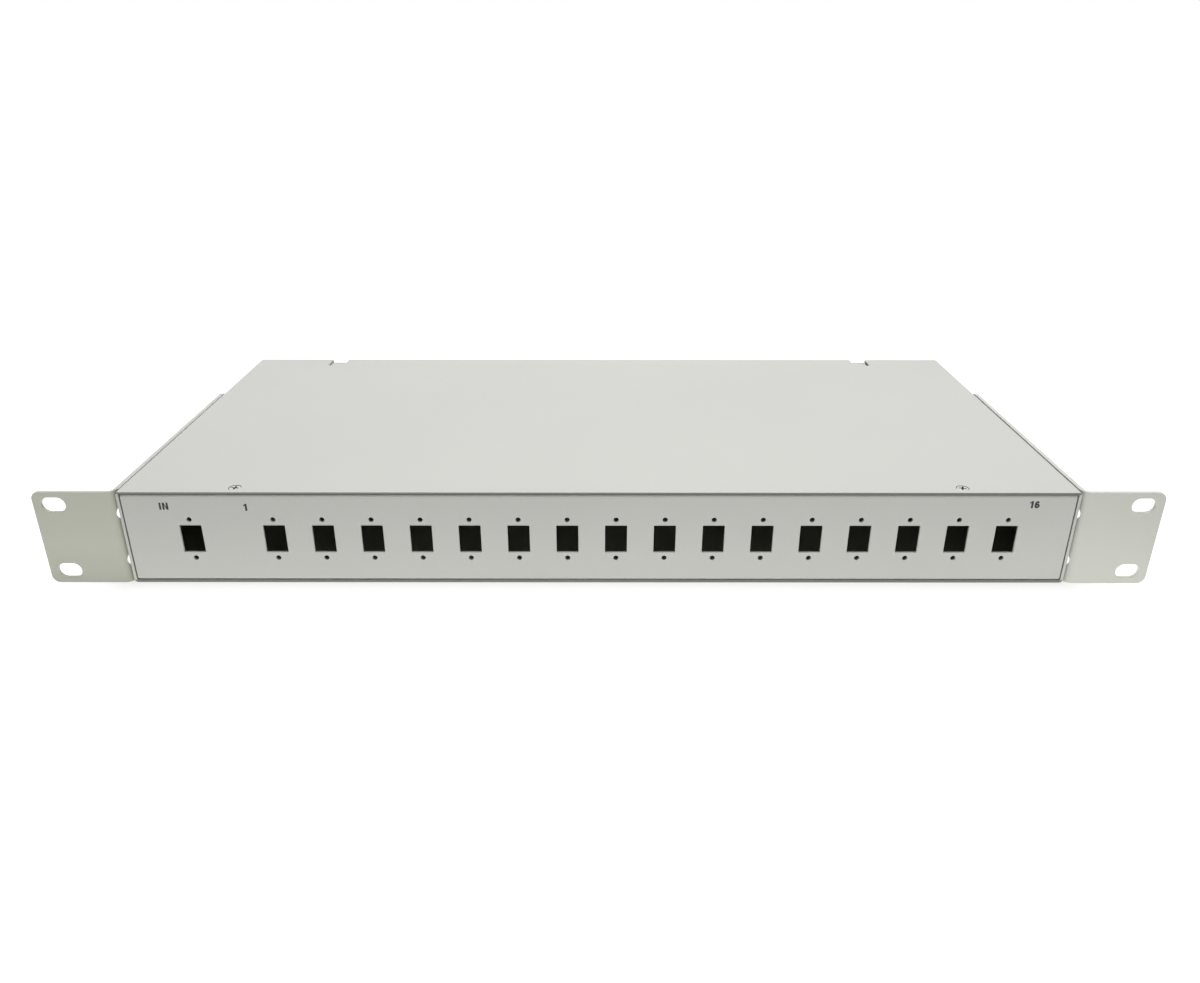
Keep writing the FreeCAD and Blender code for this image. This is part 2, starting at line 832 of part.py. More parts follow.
def waveguide_chip():
    return chip_piece(-chip_length / 2, chip_length, chip_width, chip_height)


def input_array():
    return chip_piece(-chip_length / 2 - array_length, array_length, input_array_width,
                      array_height)


def output_array():
    return chip_piece(chip_length / 2, array_length, output_array_width, array_height)


def fibre_comb():
    """Plastic block with two rows of holes for the output fibres."""
    start_x = module_x + module_length / 2 - comb_depth - overcut
    y0 = at_depth(module_depth) - (comb_holes - 1) * comb_pitch / 2
    middle = sheet + module_wall + (module_height - module_wall - module_lid) / 2
    tools = []
    half = comb_hole / 2
    for row in (-1, 1):
        z = middle + row * comb_row_spacing / 2
        for index in range(comb_holes):
            y = y0 + index * comb_pitch
            tools.append(block(start_x, start_x + comb_depth + 2 * overcut, y - half, y + half,
                               z - half, z + half))
    return cut_all(comb_block(), tools)


def input_boot():
    """Rubber boot where the input fibre enters the splitter box."""
    boot = spun([(input_boot_bore_r, -module_wall), (input_boot_r, -module_wall),
                 (input_boot_r, 0), (input_boot_collar_r, 0),
                 (input_boot_collar_r, input_boot_collar),
                 (input_boot_tip_r, input_boot_length), (input_boot_bore_r, input_boot_length)])
    spot = Vector(module_x - module_length / 2, at_depth(module_depth), input_boot_z)
    return placed(boot, spot, Vector(-1, 0, 0))


def stud_group(places, top):
    """Studs welded to the floor of the tray."""
    return Part.makeCompound(stud_rods(places, thread_r, sheet, top))


def nut_group(places, z):
    nut = hex_nut(hex_nut_flats, hex_nut_height, thread_bore_r)
    return Part.makeCompound([placed(nut, Vector(x, y, z), Vector(0, 0, 1))
                              for x, y in places])


# ================================================================ splice tray
def tray_stud_places():
    """The two studs, each in the middle of a spool."""
    return [(tray_x + side * tray_stud_x, at_depth(tray_depth)) for side in (-1, 1)]


def tray_block(z0, z1, inset=0.0):
    """A rounded block with the outline of the tray, taken in by inset."""
    half_x = tray_length / 2 - inset
    half_y = tray_width / 2 - inset
    y = at_depth(tray_depth)
    return round_plate(tray_x - half_x, tray_x + half_x, y - half_y, y + half_y, z0, z1,
                       tray_corner_r - inset)


def splice_tray():
    """Shallow dish with two fibre spools and an entry gap in each front corner."""
    rim = sheet + tray_height - tray_lid
    floor = sheet + tray_wall
    dish = tray_block(sheet, rim).cut(tray_block(floor, rim + overcut, tray_wall))
    places = tray_stud_places()
    drums = stud_rods(places, spool_r, floor, rim)
    bores = stud_rods(places, spool_r - spool_wall, floor, rim)
    spools = [drum.cut(bore) for drum, bore in zip(drums, bores)]
    hubs = stud_rods(places, tray_hub_r, floor, floor + tray_hub_height)
    dish = dish.fuse(spools + hubs)
    tools = stud_rods(places, stud_clear_r, 0, rim + overcut)
    front = at_depth(tray_depth) - tray_width / 2
    for side in (-1, 1):
        centre = tray_x + side * (tray_length / 2 - entry_gap_inset)
        tools.append(block(centre - entry_gap / 2, centre + entry_gap / 2, front - overcut,
                           front + tray_wall + overcut, floor + entry_gap_sill, rim + overcut))
    return cut_all(dish, tools).removeSplitter()


def splice_tray_lid():
    rim = sheet + tray_height - tray_lid
    return tray_block(rim, sheet + tray_height)


def splice_comb():
    """Comb of upright ribs that holds the splice sleeves."""
    floor = sheet + tray_wall
    y = at_depth(tray_depth)
    top = floor + splice_plate
    half_x = splice_length / 2
    half_y = splice_width / 2
    plate = block(tray_x - half_x, tray_x + half_x, y - half_y, y + half_y, floor, top)
    pitch = (splice_width - tooth_width) / (splice_teeth - 1)
    teeth = []
    for index in range(splice_teeth):
        y0 = y - half_y + index * pitch
        teeth.append(block(tray_x - half_x, tray_x + half_x, y0, y0 + tooth_width,
                           top, top + tooth_height))
    return plate.fuse(teeth).removeSplitter()


# ================================================================ fibre clips
def fibre_clip(x, y):
    """Open ring on a square base, stuck to the floor."""
    half = clip_base / 2
    base = block(x - half, x + half, y - half, y + half, sheet, sheet + clip_base_height)
    centre_z = sheet + clip_base_height + clip_ring_r - clip_ring_wall / 2
    start = Vector(x, y - clip_ring_width / 2, centre_z)
    ring = rod(clip_ring_r, start, Vector(0, 1, 0), clip_ring_width)
    ring = ring.cut(rod(clip_ring_r - clip_ring_wall, start, Vector(0, 1, 0), clip_ring_width))
    gap = block(-clip_gap / 2, clip_gap / 2, -clip_ring_width, clip_ring_width,
                0, clip_ring_r + overcut)
    gap.rotate(Vector(0, 0, 0), Vector(0, 1, 0), clip_gap_angle)
    gap.translate(Vector(x, y, centre_z))
    return base.fuse(ring.cut(gap)).removeSplitter()


def fibre_clips():
    return Part.makeCompound([fibre_clip(x, at_depth(depth)) for x, depth in clip_spots])


# ================================================================ output
def pieces():
    """Every node of the assembly, by name."""
    module_top = sheet + module_height
    hub_top = sheet + tray_wall + tray_hub_height
    stud_past_seat = hex_nut_height + stud_past_nut
    return {
        "base_tray": base_tray(),
        "front_panel": front_panel(),
        "top_cover": top_cover(),
        "ear_right": ear_right(),
        "ear_left": mirrored(ear_right()),
        "cover_screws": cover_screws(),
        "cover_nuts": cover_nuts(),
        "rear_screws": rear_screws(),
        "rear_nuts": rear_nuts(),
        "ear_screws_right": ear_screws_right(),
        "ear_screws_left": mirrored(ear_screws_right()),
        "side_nuts_right": side_nuts_right(),
        "side_nuts_left": mirrored(side_nuts_right()),
        "panel_rivets": panel_rivets(),
        "corner_rivets": corner_rivets(),
        "cable_grommet_right": cable_grommet(),
        "cable_grommet_left": mirrored(cable_grommet()),
        "earth_stud": earth_stud(),
        "earth_washer": earth_washer_piece(),
        "earth_nut": earth_nut(),
        "splitter_case": splitter_case(),
        "splitter_lid": splitter_lid(),
        "chip_tube": chip_tube(),
        "waveguide_chip": waveguide_chip(),
        "input_array": input_array(),
        "output_array": output_array(),
        "fibre_comb": fibre_comb(),
        "input_boot": input_boot(),
        "module_studs": stud_group(module_stud_places(), module_top + stud_past_seat),
        "module_nuts": nut_group(module_stud_places(), module_top),
        "splice_tray": splice_tray(),
        "splice_tray_lid": splice_tray_lid(),
        "splice_comb": splice_comb(),
        "tray_studs": stud_group(tray_stud_places(), hub_top + stud_past_seat),
        "tray_nuts": nut_group(tray_stud_places(), hub_top),
        "fibre_clips": fibre_clips(),
    }


os.makedirs("parts", exist_ok=True)
for name, shape in pieces().items():
    shape.exportStep("parts/" + name + ".step")
    print(name, len(shape.Solids), round(shape.Volume, 1), shape.isValid())
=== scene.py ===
import json
import math

import bmesh
import bpy
from mathutils import Matrix, Vector


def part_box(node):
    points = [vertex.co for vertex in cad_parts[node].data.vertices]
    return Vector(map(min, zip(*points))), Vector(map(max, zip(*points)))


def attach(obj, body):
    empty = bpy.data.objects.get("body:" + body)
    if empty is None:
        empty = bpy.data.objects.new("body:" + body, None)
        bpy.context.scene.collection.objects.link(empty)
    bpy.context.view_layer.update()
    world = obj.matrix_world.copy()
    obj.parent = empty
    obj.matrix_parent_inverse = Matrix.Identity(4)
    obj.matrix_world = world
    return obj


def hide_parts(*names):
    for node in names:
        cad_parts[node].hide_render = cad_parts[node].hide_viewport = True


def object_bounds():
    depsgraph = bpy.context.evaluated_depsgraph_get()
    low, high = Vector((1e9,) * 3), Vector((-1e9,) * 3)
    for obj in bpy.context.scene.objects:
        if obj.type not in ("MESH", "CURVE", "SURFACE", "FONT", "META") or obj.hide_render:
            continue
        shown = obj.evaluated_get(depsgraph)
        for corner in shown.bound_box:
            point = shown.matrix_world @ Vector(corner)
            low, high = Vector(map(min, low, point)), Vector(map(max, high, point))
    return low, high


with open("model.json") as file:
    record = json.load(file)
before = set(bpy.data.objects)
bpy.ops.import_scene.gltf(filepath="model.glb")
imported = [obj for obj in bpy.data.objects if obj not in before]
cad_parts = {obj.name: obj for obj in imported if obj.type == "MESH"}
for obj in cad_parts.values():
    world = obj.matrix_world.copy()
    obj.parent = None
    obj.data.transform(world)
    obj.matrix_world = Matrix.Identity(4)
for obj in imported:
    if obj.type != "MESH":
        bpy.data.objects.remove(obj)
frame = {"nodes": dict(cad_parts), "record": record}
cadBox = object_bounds()
mm = 0.001
print("frame loaded,", len(frame["nodes"]), "CAD pieces")

chassisBody = "chassis"

noiseUse = {
    "roughPart": (0.3, 0.7), "tonePart": (0.35, 0.65),    # the part of a noise that is used
    "fine": 2, "even": 3, "rich": 4,                      # levels of detail
}


def placed(name, data):
    thing = bpy.data.objects.new(name, data)
    bpy.context.scene.collection.objects.link(thing)
    return thing


def startMaterial(name):
    material = bpy.data.materials.new(name)
    material.use_nodes = True
    tree = material.node_tree
    shader = tree.nodes["Principled BSDF"]
    return material, tree, shader


def objectNoise(tree, scale, detail, stretch=(1, 1, 1)):
    # noise read in object space; scale is in cells per metre
    place = tree.nodes.new("ShaderNodeTexCoord")
    mapping = tree.nodes.new("ShaderNodeMapping")
    mapping.inputs["Scale"].default_value = stretch
    noise = tree.nodes.new("ShaderNodeTexNoise")
    noise.inputs["Scale"].default_value = scale
    noise.inputs["Detail"].default_value = detail
    tree.links.new(place.outputs["Object"], mapping.inputs["Vector"])
    tree.links.new(mapping.outputs["Vector"], noise.inputs["Vector"])
    return noise.outputs["Fac"]


def spread(tree, source, low, high):
    # turns the used part of a noise into low..high
    node = tree.nodes.new("ShaderNodeMapRange")
    node.inputs["From Min"].default_value = noiseUse["roughPart"][0]
    node.inputs["From Max"].default_value = noiseUse["roughPart"][1]
    node.inputs["To Min"].default_value = low
    node.inputs["To Max"].default_value = high
    tree.links.new(source, node.inputs["Value"])
    return node.outputs["Result"]


def twoTones(tree, source, dark, light):
    ramp = tree.nodes.new("ShaderNodeValToRGB")
    for element, spot, tone in zip(ramp.color_ramp.elements, noiseUse["tonePart"], (dark, light)):
        element.position = spot
        element.color = (*tone, 1)
    tree.links.new(source, ramp.inputs["Fac"])
    return ramp.outputs["Color"]


def addBump(tree, shader, source, height, strength, below=None):
    bump = tree.nodes.new("ShaderNodeBump")
    bump.inputs["Strength"].default_value = strength
    bump.inputs["Distance"].default_value = height
    tree.links.new(source, bump.inputs["Height"])
    if below:
        tree.links.new(below, bump.inputs["Normal"])
    tree.links.new(bump.outputs["Normal"], shader.inputs["Normal"])
    return bump.outputs["Normal"]


def toned(colour, factor):
    return tuple(channel * factor for channel in colour)


def coloured(tree, shader, source, dark, light, rough):
    # one noise gives both the change of tone and the change of roughness
    tree.links.new(twoTones(tree, source, dark, light), shader.inputs["Base Color"])
    tree.links.new(spread(tree, source, *rough), shader.inputs["Roughness"])


powderLook = {
    "caseColour": (0.700, 0.708, 0.664),
    # painted shade and painted light: the left ear is darker and the right ear lighter, as if lit
    # from the right; their yellower tint is the ears' own
    "leftEarShadedColour": (0.663, 0.675, 0.576),
    "rightEarLitColour": (0.790, 0.806, 0.732),
    # painted shade on the left ear's web and painted light on the right one
    "leftWebShadedColour": (0.690, 0.696, 0.664),
    "rightWebLitColour": (0.750, 0.757, 0.722),
    "leftGapPaintedLightColour": (0.90, 0.905, 0.87),      # inner face of an ear beside the cover: painted light on the left ear
    # painted shade on the same face of the right ear
    "rightGapPaintedShadeColour": (0.60, 0.605, 0.575),
    # painted shade: a darker colour on the inside faces, which darkens the hollow seen through the
    # ports
    "insideShadeColour": (0.46, 0.462, 0.395),
    "edgeShadeColour": (0.25, 0.252, 0.236),     # painted shade on the front edges of the floor and the cover
    "seamShadeColour": (0.085, 0.086, 0.078),       # painted shade down in a seam and in the cover's countersinks
    "toneShift": 0.018,                        # cloudy change of tone over a panel
    "cloudScale": 7.0,                         # cells per metre, like the other scales
    "orangePeelScale": 620.0, "orangePeelHeight": 0.06 * mm, "orangePeelStrength": 0.35,
    "grainScale": 3200.0, "grainHeight": 0.012 * mm, "grainStrength": 0.5,
    "roughness": (0.40, 0.50),
    "specular": 0.45,
    # axis, then place in mm and the tone kept there: painted shade down the fold of an ear,
    # and painted shade that darkens the left ear towards its foot
    "foldShade": ("Y", [(-102.0, 1.0), (-101.7, 0.95), (-100.9, 0.86), (-99.9, 0.66), (-98.0, 0.50)]),
    "foot": ("Z", [(0.0, 0.79), (5.0, 0.865), (12.0, 0.915), (18.0, 0.975), (44.0, 1.0)]),
}


def variedAlong(tree, tone, axis, stops):
    # scales a tone by the place along one axis of the object
    first, last = stops[0][0], stops[-1][0]
    place = tree.nodes.new("ShaderNodeTexCoord")
    parts = tree.nodes.new("ShaderNodeSeparateXYZ")
    span = tree.nodes.new("ShaderNodeMapRange")
    span.inputs["From Min"].default_value = first * mm
    span.inputs["From Max"].default_value = last * mm
    ramp = tree.nodes.new("ShaderNodeValToRGB")
    while len(ramp.color_ramp.elements) < len(stops):
        ramp.color_ramp.elements.new(1.0)
    for element, (spot, kept) in zip(ramp.color_ramp.elements, stops):
        element.position = (spot - first) / (last - first)
        element.color = (kept, kept, kept, 1)
    varied = tree.nodes.new("ShaderNodeVectorMath")
    varied.operation = "MULTIPLY"
    tree.links.new(place.outputs["Object"], parts.inputs["Vector"])
    tree.links.new(parts.outputs[axis], span.inputs["Value"])
    tree.links.new(span.outputs["Result"], ramp.inputs["Fac"])
    tree.links.new(tone, varied.inputs[0])
    tree.links.new(ramp.outputs["Color"], varied.inputs[1])
    return varied.outputs["Vector"]


def powderCoat(name, colour, shadeChanges):
    material, tree, shader = startMaterial(name)
    cloud = objectNoise(tree, powderLook["cloudScale"], noiseUse["even"])
    shift = powderLook["toneShift"]
    tone = twoTones(tree, cloud, toned(colour, 1 - shift), toned(colour, 1 + shift))
    for shadeChange in shadeChanges:
        tone = variedAlong(tree, tone, *powderLook[shadeChange])
    tree.links.new(tone, shader.inputs["Base Color"])
    peel = objectNoise(tree, powderLook["orangePeelScale"], noiseUse["fine"])
    rough = spread(tree, peel, *powderLook["roughness"])
    tree.links.new(rough, shader.inputs["Roughness"])
    grain = objectNoise(tree, powderLook["grainScale"], noiseUse["fine"])
    fine = addBump(tree, shader, grain, powderLook["grainHeight"], powderLook["grainStrength"])
    addBump(tree, shader, peel, powderLook["orangePeelHeight"],
            powderLook["orangePeelStrength"], fine)
    shader.inputs["Specular IOR Level"].default_value = powderLook["specular"]
    return material


metalLook = {
    "zinc": {"dark": (0.60, 0.61, 0.62), "light": (0.74, 0.74, 0.72),
             "rough": (0.22, 0.40), "scale": 500.0, "height": 0.010 * mm},
    "rivet": {"dark": (0.66, 0.67, 0.68), "light": (0.78, 0.78, 0.77),
              "rough": (0.30, 0.48), "scale": 700.0, "height": 0.012 * mm},
    "stainless": {"dark": (0.50, 0.50, 0.50), "light": (0.63, 0.62, 0.61),
                  "rough": (0.25, 0.38), "scale": 900.0, "height": 0.010 * mm,
                  "stretch": (0.04, 1, 1)},    # brushed along its length
    "brass": {"dark": (0.62, 0.43, 0.16), "light": (0.80, 0.60, 0.27),
              "rough": (0.20, 0.36), "scale": 450.0, "height": 0.010 * mm},
    # painted shade in the cross recesses of the screws
    "recessShade": {"dark": (0.05, 0.05, 0.05), "light": (0.12, 0.12, 0.12),
               "rough": (0.50, 0.65), "scale": 900.0, "height": 0.010 * mm},
}
blotchBump = 0.4


def plainMetal(name):
    look = metalLook[name]
    material, tree, shader = startMaterial(name + "Metal")
    blotch = objectNoise(tree, look["scale"], noiseUse["rich"], look.get("stretch", (1, 1, 1)))
    coloured(tree, shader, blotch, look["dark"], look["light"], look["rough"])
    addBump(tree, shader, blotch, look["height"], blotchBump)
    shader.inputs["Metallic"].default_value = 1.0
    return material


mouldedLook = {
    "rubber": {"colour": (0.022, 0.022, 0.023), "tone": 0.25, "rough": (0.62, 0.78),
               "scale": 900.0, "height": 0.03 * mm},
    "modulePlastic": {"colour": (0.030, 0.031, 0.034), "tone": 0.10, "rough": (0.38, 0.52),
                      "scale": 1500.0, "height": 0.03 * mm},
    "trayPlastic": {"colour": (0.055, 0.057, 0.062), "tone": 0.08, "rough": (0.30, 0.42),
                    "scale": 1200.0, "height": 0.02 * mm},
    "nylon": {"colour": (0.70, 0.69, 0.63), "tone": 0.04, "rough": (0.36, 0.50),
              "scale": 800.0, "height": 0.02 * mm,
              "seep": 0.15, "seepRadius": (2.0 * mm, 2.0 * mm, 1.5 * mm)},
}
skinBump = 0.5


def moulded(name):
    # spark-eroded skin of a moulded piece
    look = mouldedLook[name]
    material, tree, shader = startMaterial(name)
    skin = objectNoise(tree, look["scale"], noiseUse["even"])
    dark = toned(look["colour"], 1 - look["tone"])
    light = toned(look["colour"], 1 + look["tone"])
    coloured(tree, shader, skin, dark, light, look["rough"])
    addBump(tree, shader, skin, look["height"], skinBump)
    if "seep" in look:             # light that seeps into natural nylon
        shader.inputs["Subsurface Weight"].default_value = look["seep"]
        shader.inputs["Subsurface Radius"].default_value = look["seepRadius"]
        shader.inputs["Subsurface Scale"].default_value = 1.0
    return material


clearLook = {
    "lid": {"colour": (0.92, 0.95, 0.95), "rough": (0.03, 0.08), "ior": 1.49},
    "silica": {"colour": (0.90, 0.94, 0.96), "rough": (0.05, 0.12), "ior": 1.46},
}
clearHaze = {"scale": 60.0, "tone": 0.97, "throughShare": 0.92}


def clearSheet(name):
    look = clearLook[name]
    material, tree, shader = startMaterial(name + "Clear")
    haze = objectNoise(tree, clearHaze["scale"], noiseUse["even"])
    light = look["colour"]
    coloured(tree, shader, haze, toned(light, clearHaze["tone"]), light, look["rough"])
    shader.inputs["Transmission Weight"].default_value = clearHaze["throughShare"]
    shader.inputs["IOR"].default_value = look["ior"]
    return material


inkLook = {"colour": (0.012, 0.012, 0.012), "speckle": 2.2, "rough": (0.45, 0.65), "scale": 2500.0}


def screenInk():
    material, tree, shader = startMaterial("screenInk")
    speckle = objectNoise(tree, inkLook["scale"], noiseUse["fine"])
    dark = inkLook["colour"]
    coloured(tree, shader, speckle, dark, toned(dark, inkLook["speckle"]), inkLook["rough"])
    return material


powderCoats = [                    # finish, material, colour, painted shade laid over it
    ("case", "casePowder", "caseColour", ()),
    ("leftEarShaded", "leftEarShadedPowder", "leftEarShadedColour", ("foot",)),
    ("rightEarLit", "rightEarLitPowder", "rightEarLitColour", ()),
    ("inside", "insidePaintedShade", "insideShadeColour", ()),
    ("edgeShade", "paintedEdgeShade", "edgeShadeColour", ()),
    ("seam", "seamMetal", "seamShadeColour", ()),
    ("leftFoldShade", "leftFoldShadePowder", "leftEarShadedColour", ("foot", "foldShade")),
    ("rightFoldShade", "rightFoldShadePowder", "rightEarLitColour", ("foldShade",)),
    ("leftWebShading", "leftWebShadedPowder", "leftWebShadedColour", ()),
    ("rightWebShading", "rightWebLitPowder", "rightWebLitColour", ()),
    ("leftGapShading", "leftGapPaintedLight", "leftGapPaintedLightColour", ()),
    ("rightGapShading", "rightGapPaintedShade", "rightGapPaintedShadeColour", ()),
]

finish = {}
for name, materialName, colour, shadeChanges in powderCoats:
    finish[name] = powderCoat(materialName, powderLook[colour], shadeChanges)
for look, maker in ((metalLook, plainMetal), (mouldedLook, moulded), (clearLook, clearSheet)):
    for name in look:
        finish[name] = maker(name)
finish["ink"] = screenInk()
print("finishes ready,", len(finish))


def bodyOf(nodeName):
    for body, nodes in frame["record"]["behaviour"]["bodies"].items():
        if nodeName in nodes:
            return body
    return chassisBody


def standIn(piece, nodeName):
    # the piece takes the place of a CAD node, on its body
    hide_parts(nodeName)
    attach(piece, bodyOf(nodeName))


easing = {
    "steps": 2, "profile": 0.5,
    "weld": 1e-6, "fineWeld": 1e-7,    # metres
    "flatAngle": 0.6,                  # degrees, and so are the next four
    "sharpAngle": 32.0, "creaseAngle": 40.0, "turnedCrease": 50.0, "fastenerCrease": 33.0,
    "normalWeight": 90,
}


def mergedCopy(nodeName):
    # the node's loose triangles as one closed mesh, with flat areas joined up
    solid = bmesh.new()
    solid.from_mesh(frame["nodes"][nodeName].data)
    for layer in list(solid.loops.layers.float_vector.values()):
        solid.loops.layers.float_vector.remove(layer)
    bmesh.ops.remove_doubles(solid, verts=solid.verts, dist=easing["weld"])
    bmesh.ops.dissolve_limit(solid, angle_limit=math.radians(easing["flatAngle"]),
                             verts=solid.verts, edges=solid.edges)
    return solid


def markCreases(solid, degrees):
    for face in solid.faces:
        face.smooth = True
    for edge in solid.edges:
        sharp = len(edge.link_faces) != 2 or edge.calc_face_angle(0) > math.radians(degrees)
        edge.smooth = not sharp


def keepMesh(solid, pieceName, material):
    mesh = bpy.data.meshes.new(pieceName)
    solid.to_mesh(mesh)
    solid.free()
    if "custom_normal" in mesh.attributes:
        mesh.attributes.remove(mesh.attributes["custom_normal"])
    mesh.materials.clear()
    mesh.materials.append(material)
    for polygon in mesh.polygons:
        polygon.material_index = 0
    return placed(pieceName, mesh)


def easedPiece(nodeName, pieceName, material, radius):
    # copy of a CAD node whose sharp edges are rounded over by radius
    solid = mergedCopy(nodeName)
    limit = math.radians(easing["sharpAngle"])
    edges = [edge for edge in solid.edges if edge.calc_face_angle(0) > limit]
    bmesh.ops.bevel(solid, geom=edges, offset=radius * mm, offset_type="OFFSET",
                    segments=easing["steps"], profile=easing["profile"], affect="EDGES",
                    clamp_overlap=False)
    markCreases(solid, easing["creaseAngle"])
    piece = keepMesh(solid, pieceName, material)
    weighted = piece.modifiers.new("evenShading", "WEIGHTED_NORMAL")
    weighted.mode = "FACE_AREA"
    weighted.keep_sharp = True
    weighted.weight = easing["normalWeight"]
    standIn(piece, nodeName)
    return piece


easedPieces = [                    # node, piece, finish, edge radius in mm
    ("base_tray", "trayShell", "case", 0.16),
    ("front_panel", "portPanel", "case", 0.16),
    ("top_cover", "coverSheet", "case", 0.18),
    ("ear_right", "rackEarRight", "rightEarLit", 0.16),
    ("ear_left", "rackEarLeft", "leftEarShaded", 0.45),
    ("earth_washer", "toothedWasher", "zinc", 0.06),
    ("splitter_case", "splitterBox", "modulePlastic", 0.20),
    ("splitter_lid", "splitterBoxLid", "modulePlastic", 0.25),
    ("fibre_comb", "outputComb", "modulePlastic", 0.10),
    ("chip_tube", "chipTube", "stainless", 0.06),
    ("waveguide_chip", "waveguideChip", "silica", 0.06),
    ("input_array", "inputArray", "silica", 0.06),
    ("output_array", "outputArray", "silica", 0.06),
    ("splice_tray", "spliceDish", "trayPlastic", 0.20),
    ("splice_tray_lid", "spliceDishLid", "lid", 0.20),
    ("splice_comb", "spliceComb", "trayPlastic", 0.15),
    ("fibre_clips", "fibreClips", "nylon", 0.15),
]

eased = {}
for nodeName, pieceName, finishName, radius in easedPieces:
    eased[nodeName] = easedPiece(nodeName, pieceName, finish[finishName], radius)


def repaint(piece, finishName, chosen):
    # another finish for the faces that the test picks by their middle and normal
    piece.data.materials.append(finish[finishName])
    slot = len(piece.data.materials) - 1
    for polygon in piece.data.polygons:
        if chosen(polygon.center / mm, polygon.normal):
            polygon.material_index = slot


def splitAt(piece, height, chosen):
    # cuts the picked faces along a level line, so that each side can have its own finish
    solid = bmesh.new()
    solid.from_mesh(piece.data)
    solid.normal_update()
    faces = [f for f in solid.faces if chosen(f.calc_center_median() / mm, f.normal)]
    touched = {e for f in faces for e in f.edges} | {v for f in faces for v in f.verts}
    bmesh.ops.bisect_plane(solid, geom=faces + list(touched), plane_co=(0, 0, height * mm),
                           plane_no=(0, 0, 1), clear_inner=False, clear_outer=False)
    solid.to_mesh(piece.data)
    solid.free()


def edgeOf(nodeName, end, axis):
    # lowest (0) or highest (1) place of a node along an axis, in mm
    return round(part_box(nodeName)[end][axis] / mm, 2)


case = {                          # mm
    "half": edgeOf("base_tray", 1, 0), "front": edgeOf("base_tray", 0, 1),
    "back": edgeOf("base_tray", 1, 1), "top": edgeOf("top_cover", 1, 2),
    "sheet": 1.2, "coverSheet": 1.0, "panelBend": 1.6,
    "screwX": 156.0, "screwDepth": 4.9, "sinkShadeRadius": 2.7,
    "earFace": edgeOf("ear_left", 0, 1), "earBend": 4.0,
    "seamShadeReach": 0.35, "edgeShadeReach": 0.2, "slack": 0.1,
}
leaning = {                       # limits for the normal of a face, as cosines
    "hollow": -0.5, "frontEdge": -0.6, "floorEdge": -0.3, "seam": -0.05, "foldShade": -0.02,
    "sink": (0.2, 0.9), "besideCoverShading": 0.9,
}


def looksInsideShaded(spot, normal):
    # faces towards the hollow of the case, except those of the rear wall; they get a darker colour
    # as painted shade inside the case, and the rear wall keeps the case colour
    ahead = spot + normal
    inner = case["half"] - case["sheet"]
    ceiling = case["top"] - case["coverSheet"]
    return (abs(ahead.x) < inner and case["sheet"] < ahead.z < ceiling
            and case["front"] + case["sheet"] < ahead.y < case["back"] - case["sheet"]
            and normal.y > leaning["hollow"])


# front edges that get painted shade
def onFrontEdgeShade(spot, normal):
    return normal.y < leaning["frontEdge"] and spot.y < case["front"] + case["edgeShadeReach"]


def onFloorEdgeShade(spot, normal):
    ahead = spot.y < case["front"] + 2 * case["edgeShadeReach"]
    return ahead and normal.y < leaning["floorEdge"] and spot.z < case["sheet"]


# painted shade in the countersinks of the cover
def inCountersinkShade(spot, normal):
    behind = spot.y - case["front"] - case["screwDepth"]
    across = math.hypot(abs(spot.x) - case["screwX"], behind)
    return across < case["sinkShadeRadius"] and leaning["sink"][0] < normal.z < leaning["sink"][1]


def inTopSeamShade(spot, normal):
    # the upper part of the panel's bend, right under the cover, which gets painted shade
    under = case["top"] - case["coverSheet"] - spot.z
    ahead = spot.y < case["front"] + case["panelBend"]
    return ahead and under < case["seamShadeReach"] and normal.y < leaning["seam"]


def inEarFoldShade(spot, normal):
    # the rounded corner between the face and the web of an ear, which gets painted shade
    bend = case["earBend"] + case["slack"]
    return (abs(spot.x) < case["half"] + bend and normal.y < leaning["foldShade"]
            and case["earFace"] < spot.y < case["earFace"] + bend)


# the web of an ear, which takes the painted shade or painted light of its side
def onEarWebShading(spot, normal):
    return spot.y > case["earFace"] + case["earBend"] + case["slack"]


def besideCoverShading(spot, normal):
    # the inner face of an ear's web, with painted light on the left ear and painted shade on the
    # right
    sideways = abs(normal.x) > leaning["besideCoverShading"]
    return onEarWebShading(spot, normal) and sideways and normal.x * spot.x < 0


# painted shade on the inside faces of the case
for nodeName in ("base_tray", "front_panel", "top_cover"):
    repaint(eased[nodeName], "inside", looksInsideShaded)
# painted shade on the front edges of the floor and the cover
splitAt(eased["base_tray"], case["sheet"], onFrontEdgeShade)
repaint(eased["base_tray"], "edgeShade", onFloorEdgeShade)
repaint(eased["top_cover"], "edgeShade", onFrontEdgeShade)
# painted shade in the countersinks and in the seam under the cover
repaint(eased["top_cover"], "seam", inCountersinkShade)
repaint(eased["front_panel"], "seam", inTopSeamShade)
# painted shade in the folds, and painted shade or painted light on the webs and beside the cover
for side in ("left", "right"):
    repaint(eased["ear_" + side], side + "FoldShade", inEarFoldShade)
    repaint(eased["ear_" + side], side + "WebShading", onEarWebShading)
    repaint(eased["ear_" + side], side + "GapShading", besideCoverShading)


coverRest = {                     # mm; two angles behind the notches of the cover
    "x": (-158.9, 155.1), "width": 12.6, "reach": 12.0, "height": 7.5, "sheet": 0.9,
    "top": 42.2, "bend": 1.4, "gap": 0.01, "edge": 0.12, "steps": 5,
    "sharpAngle": 1.0,            # radians
}


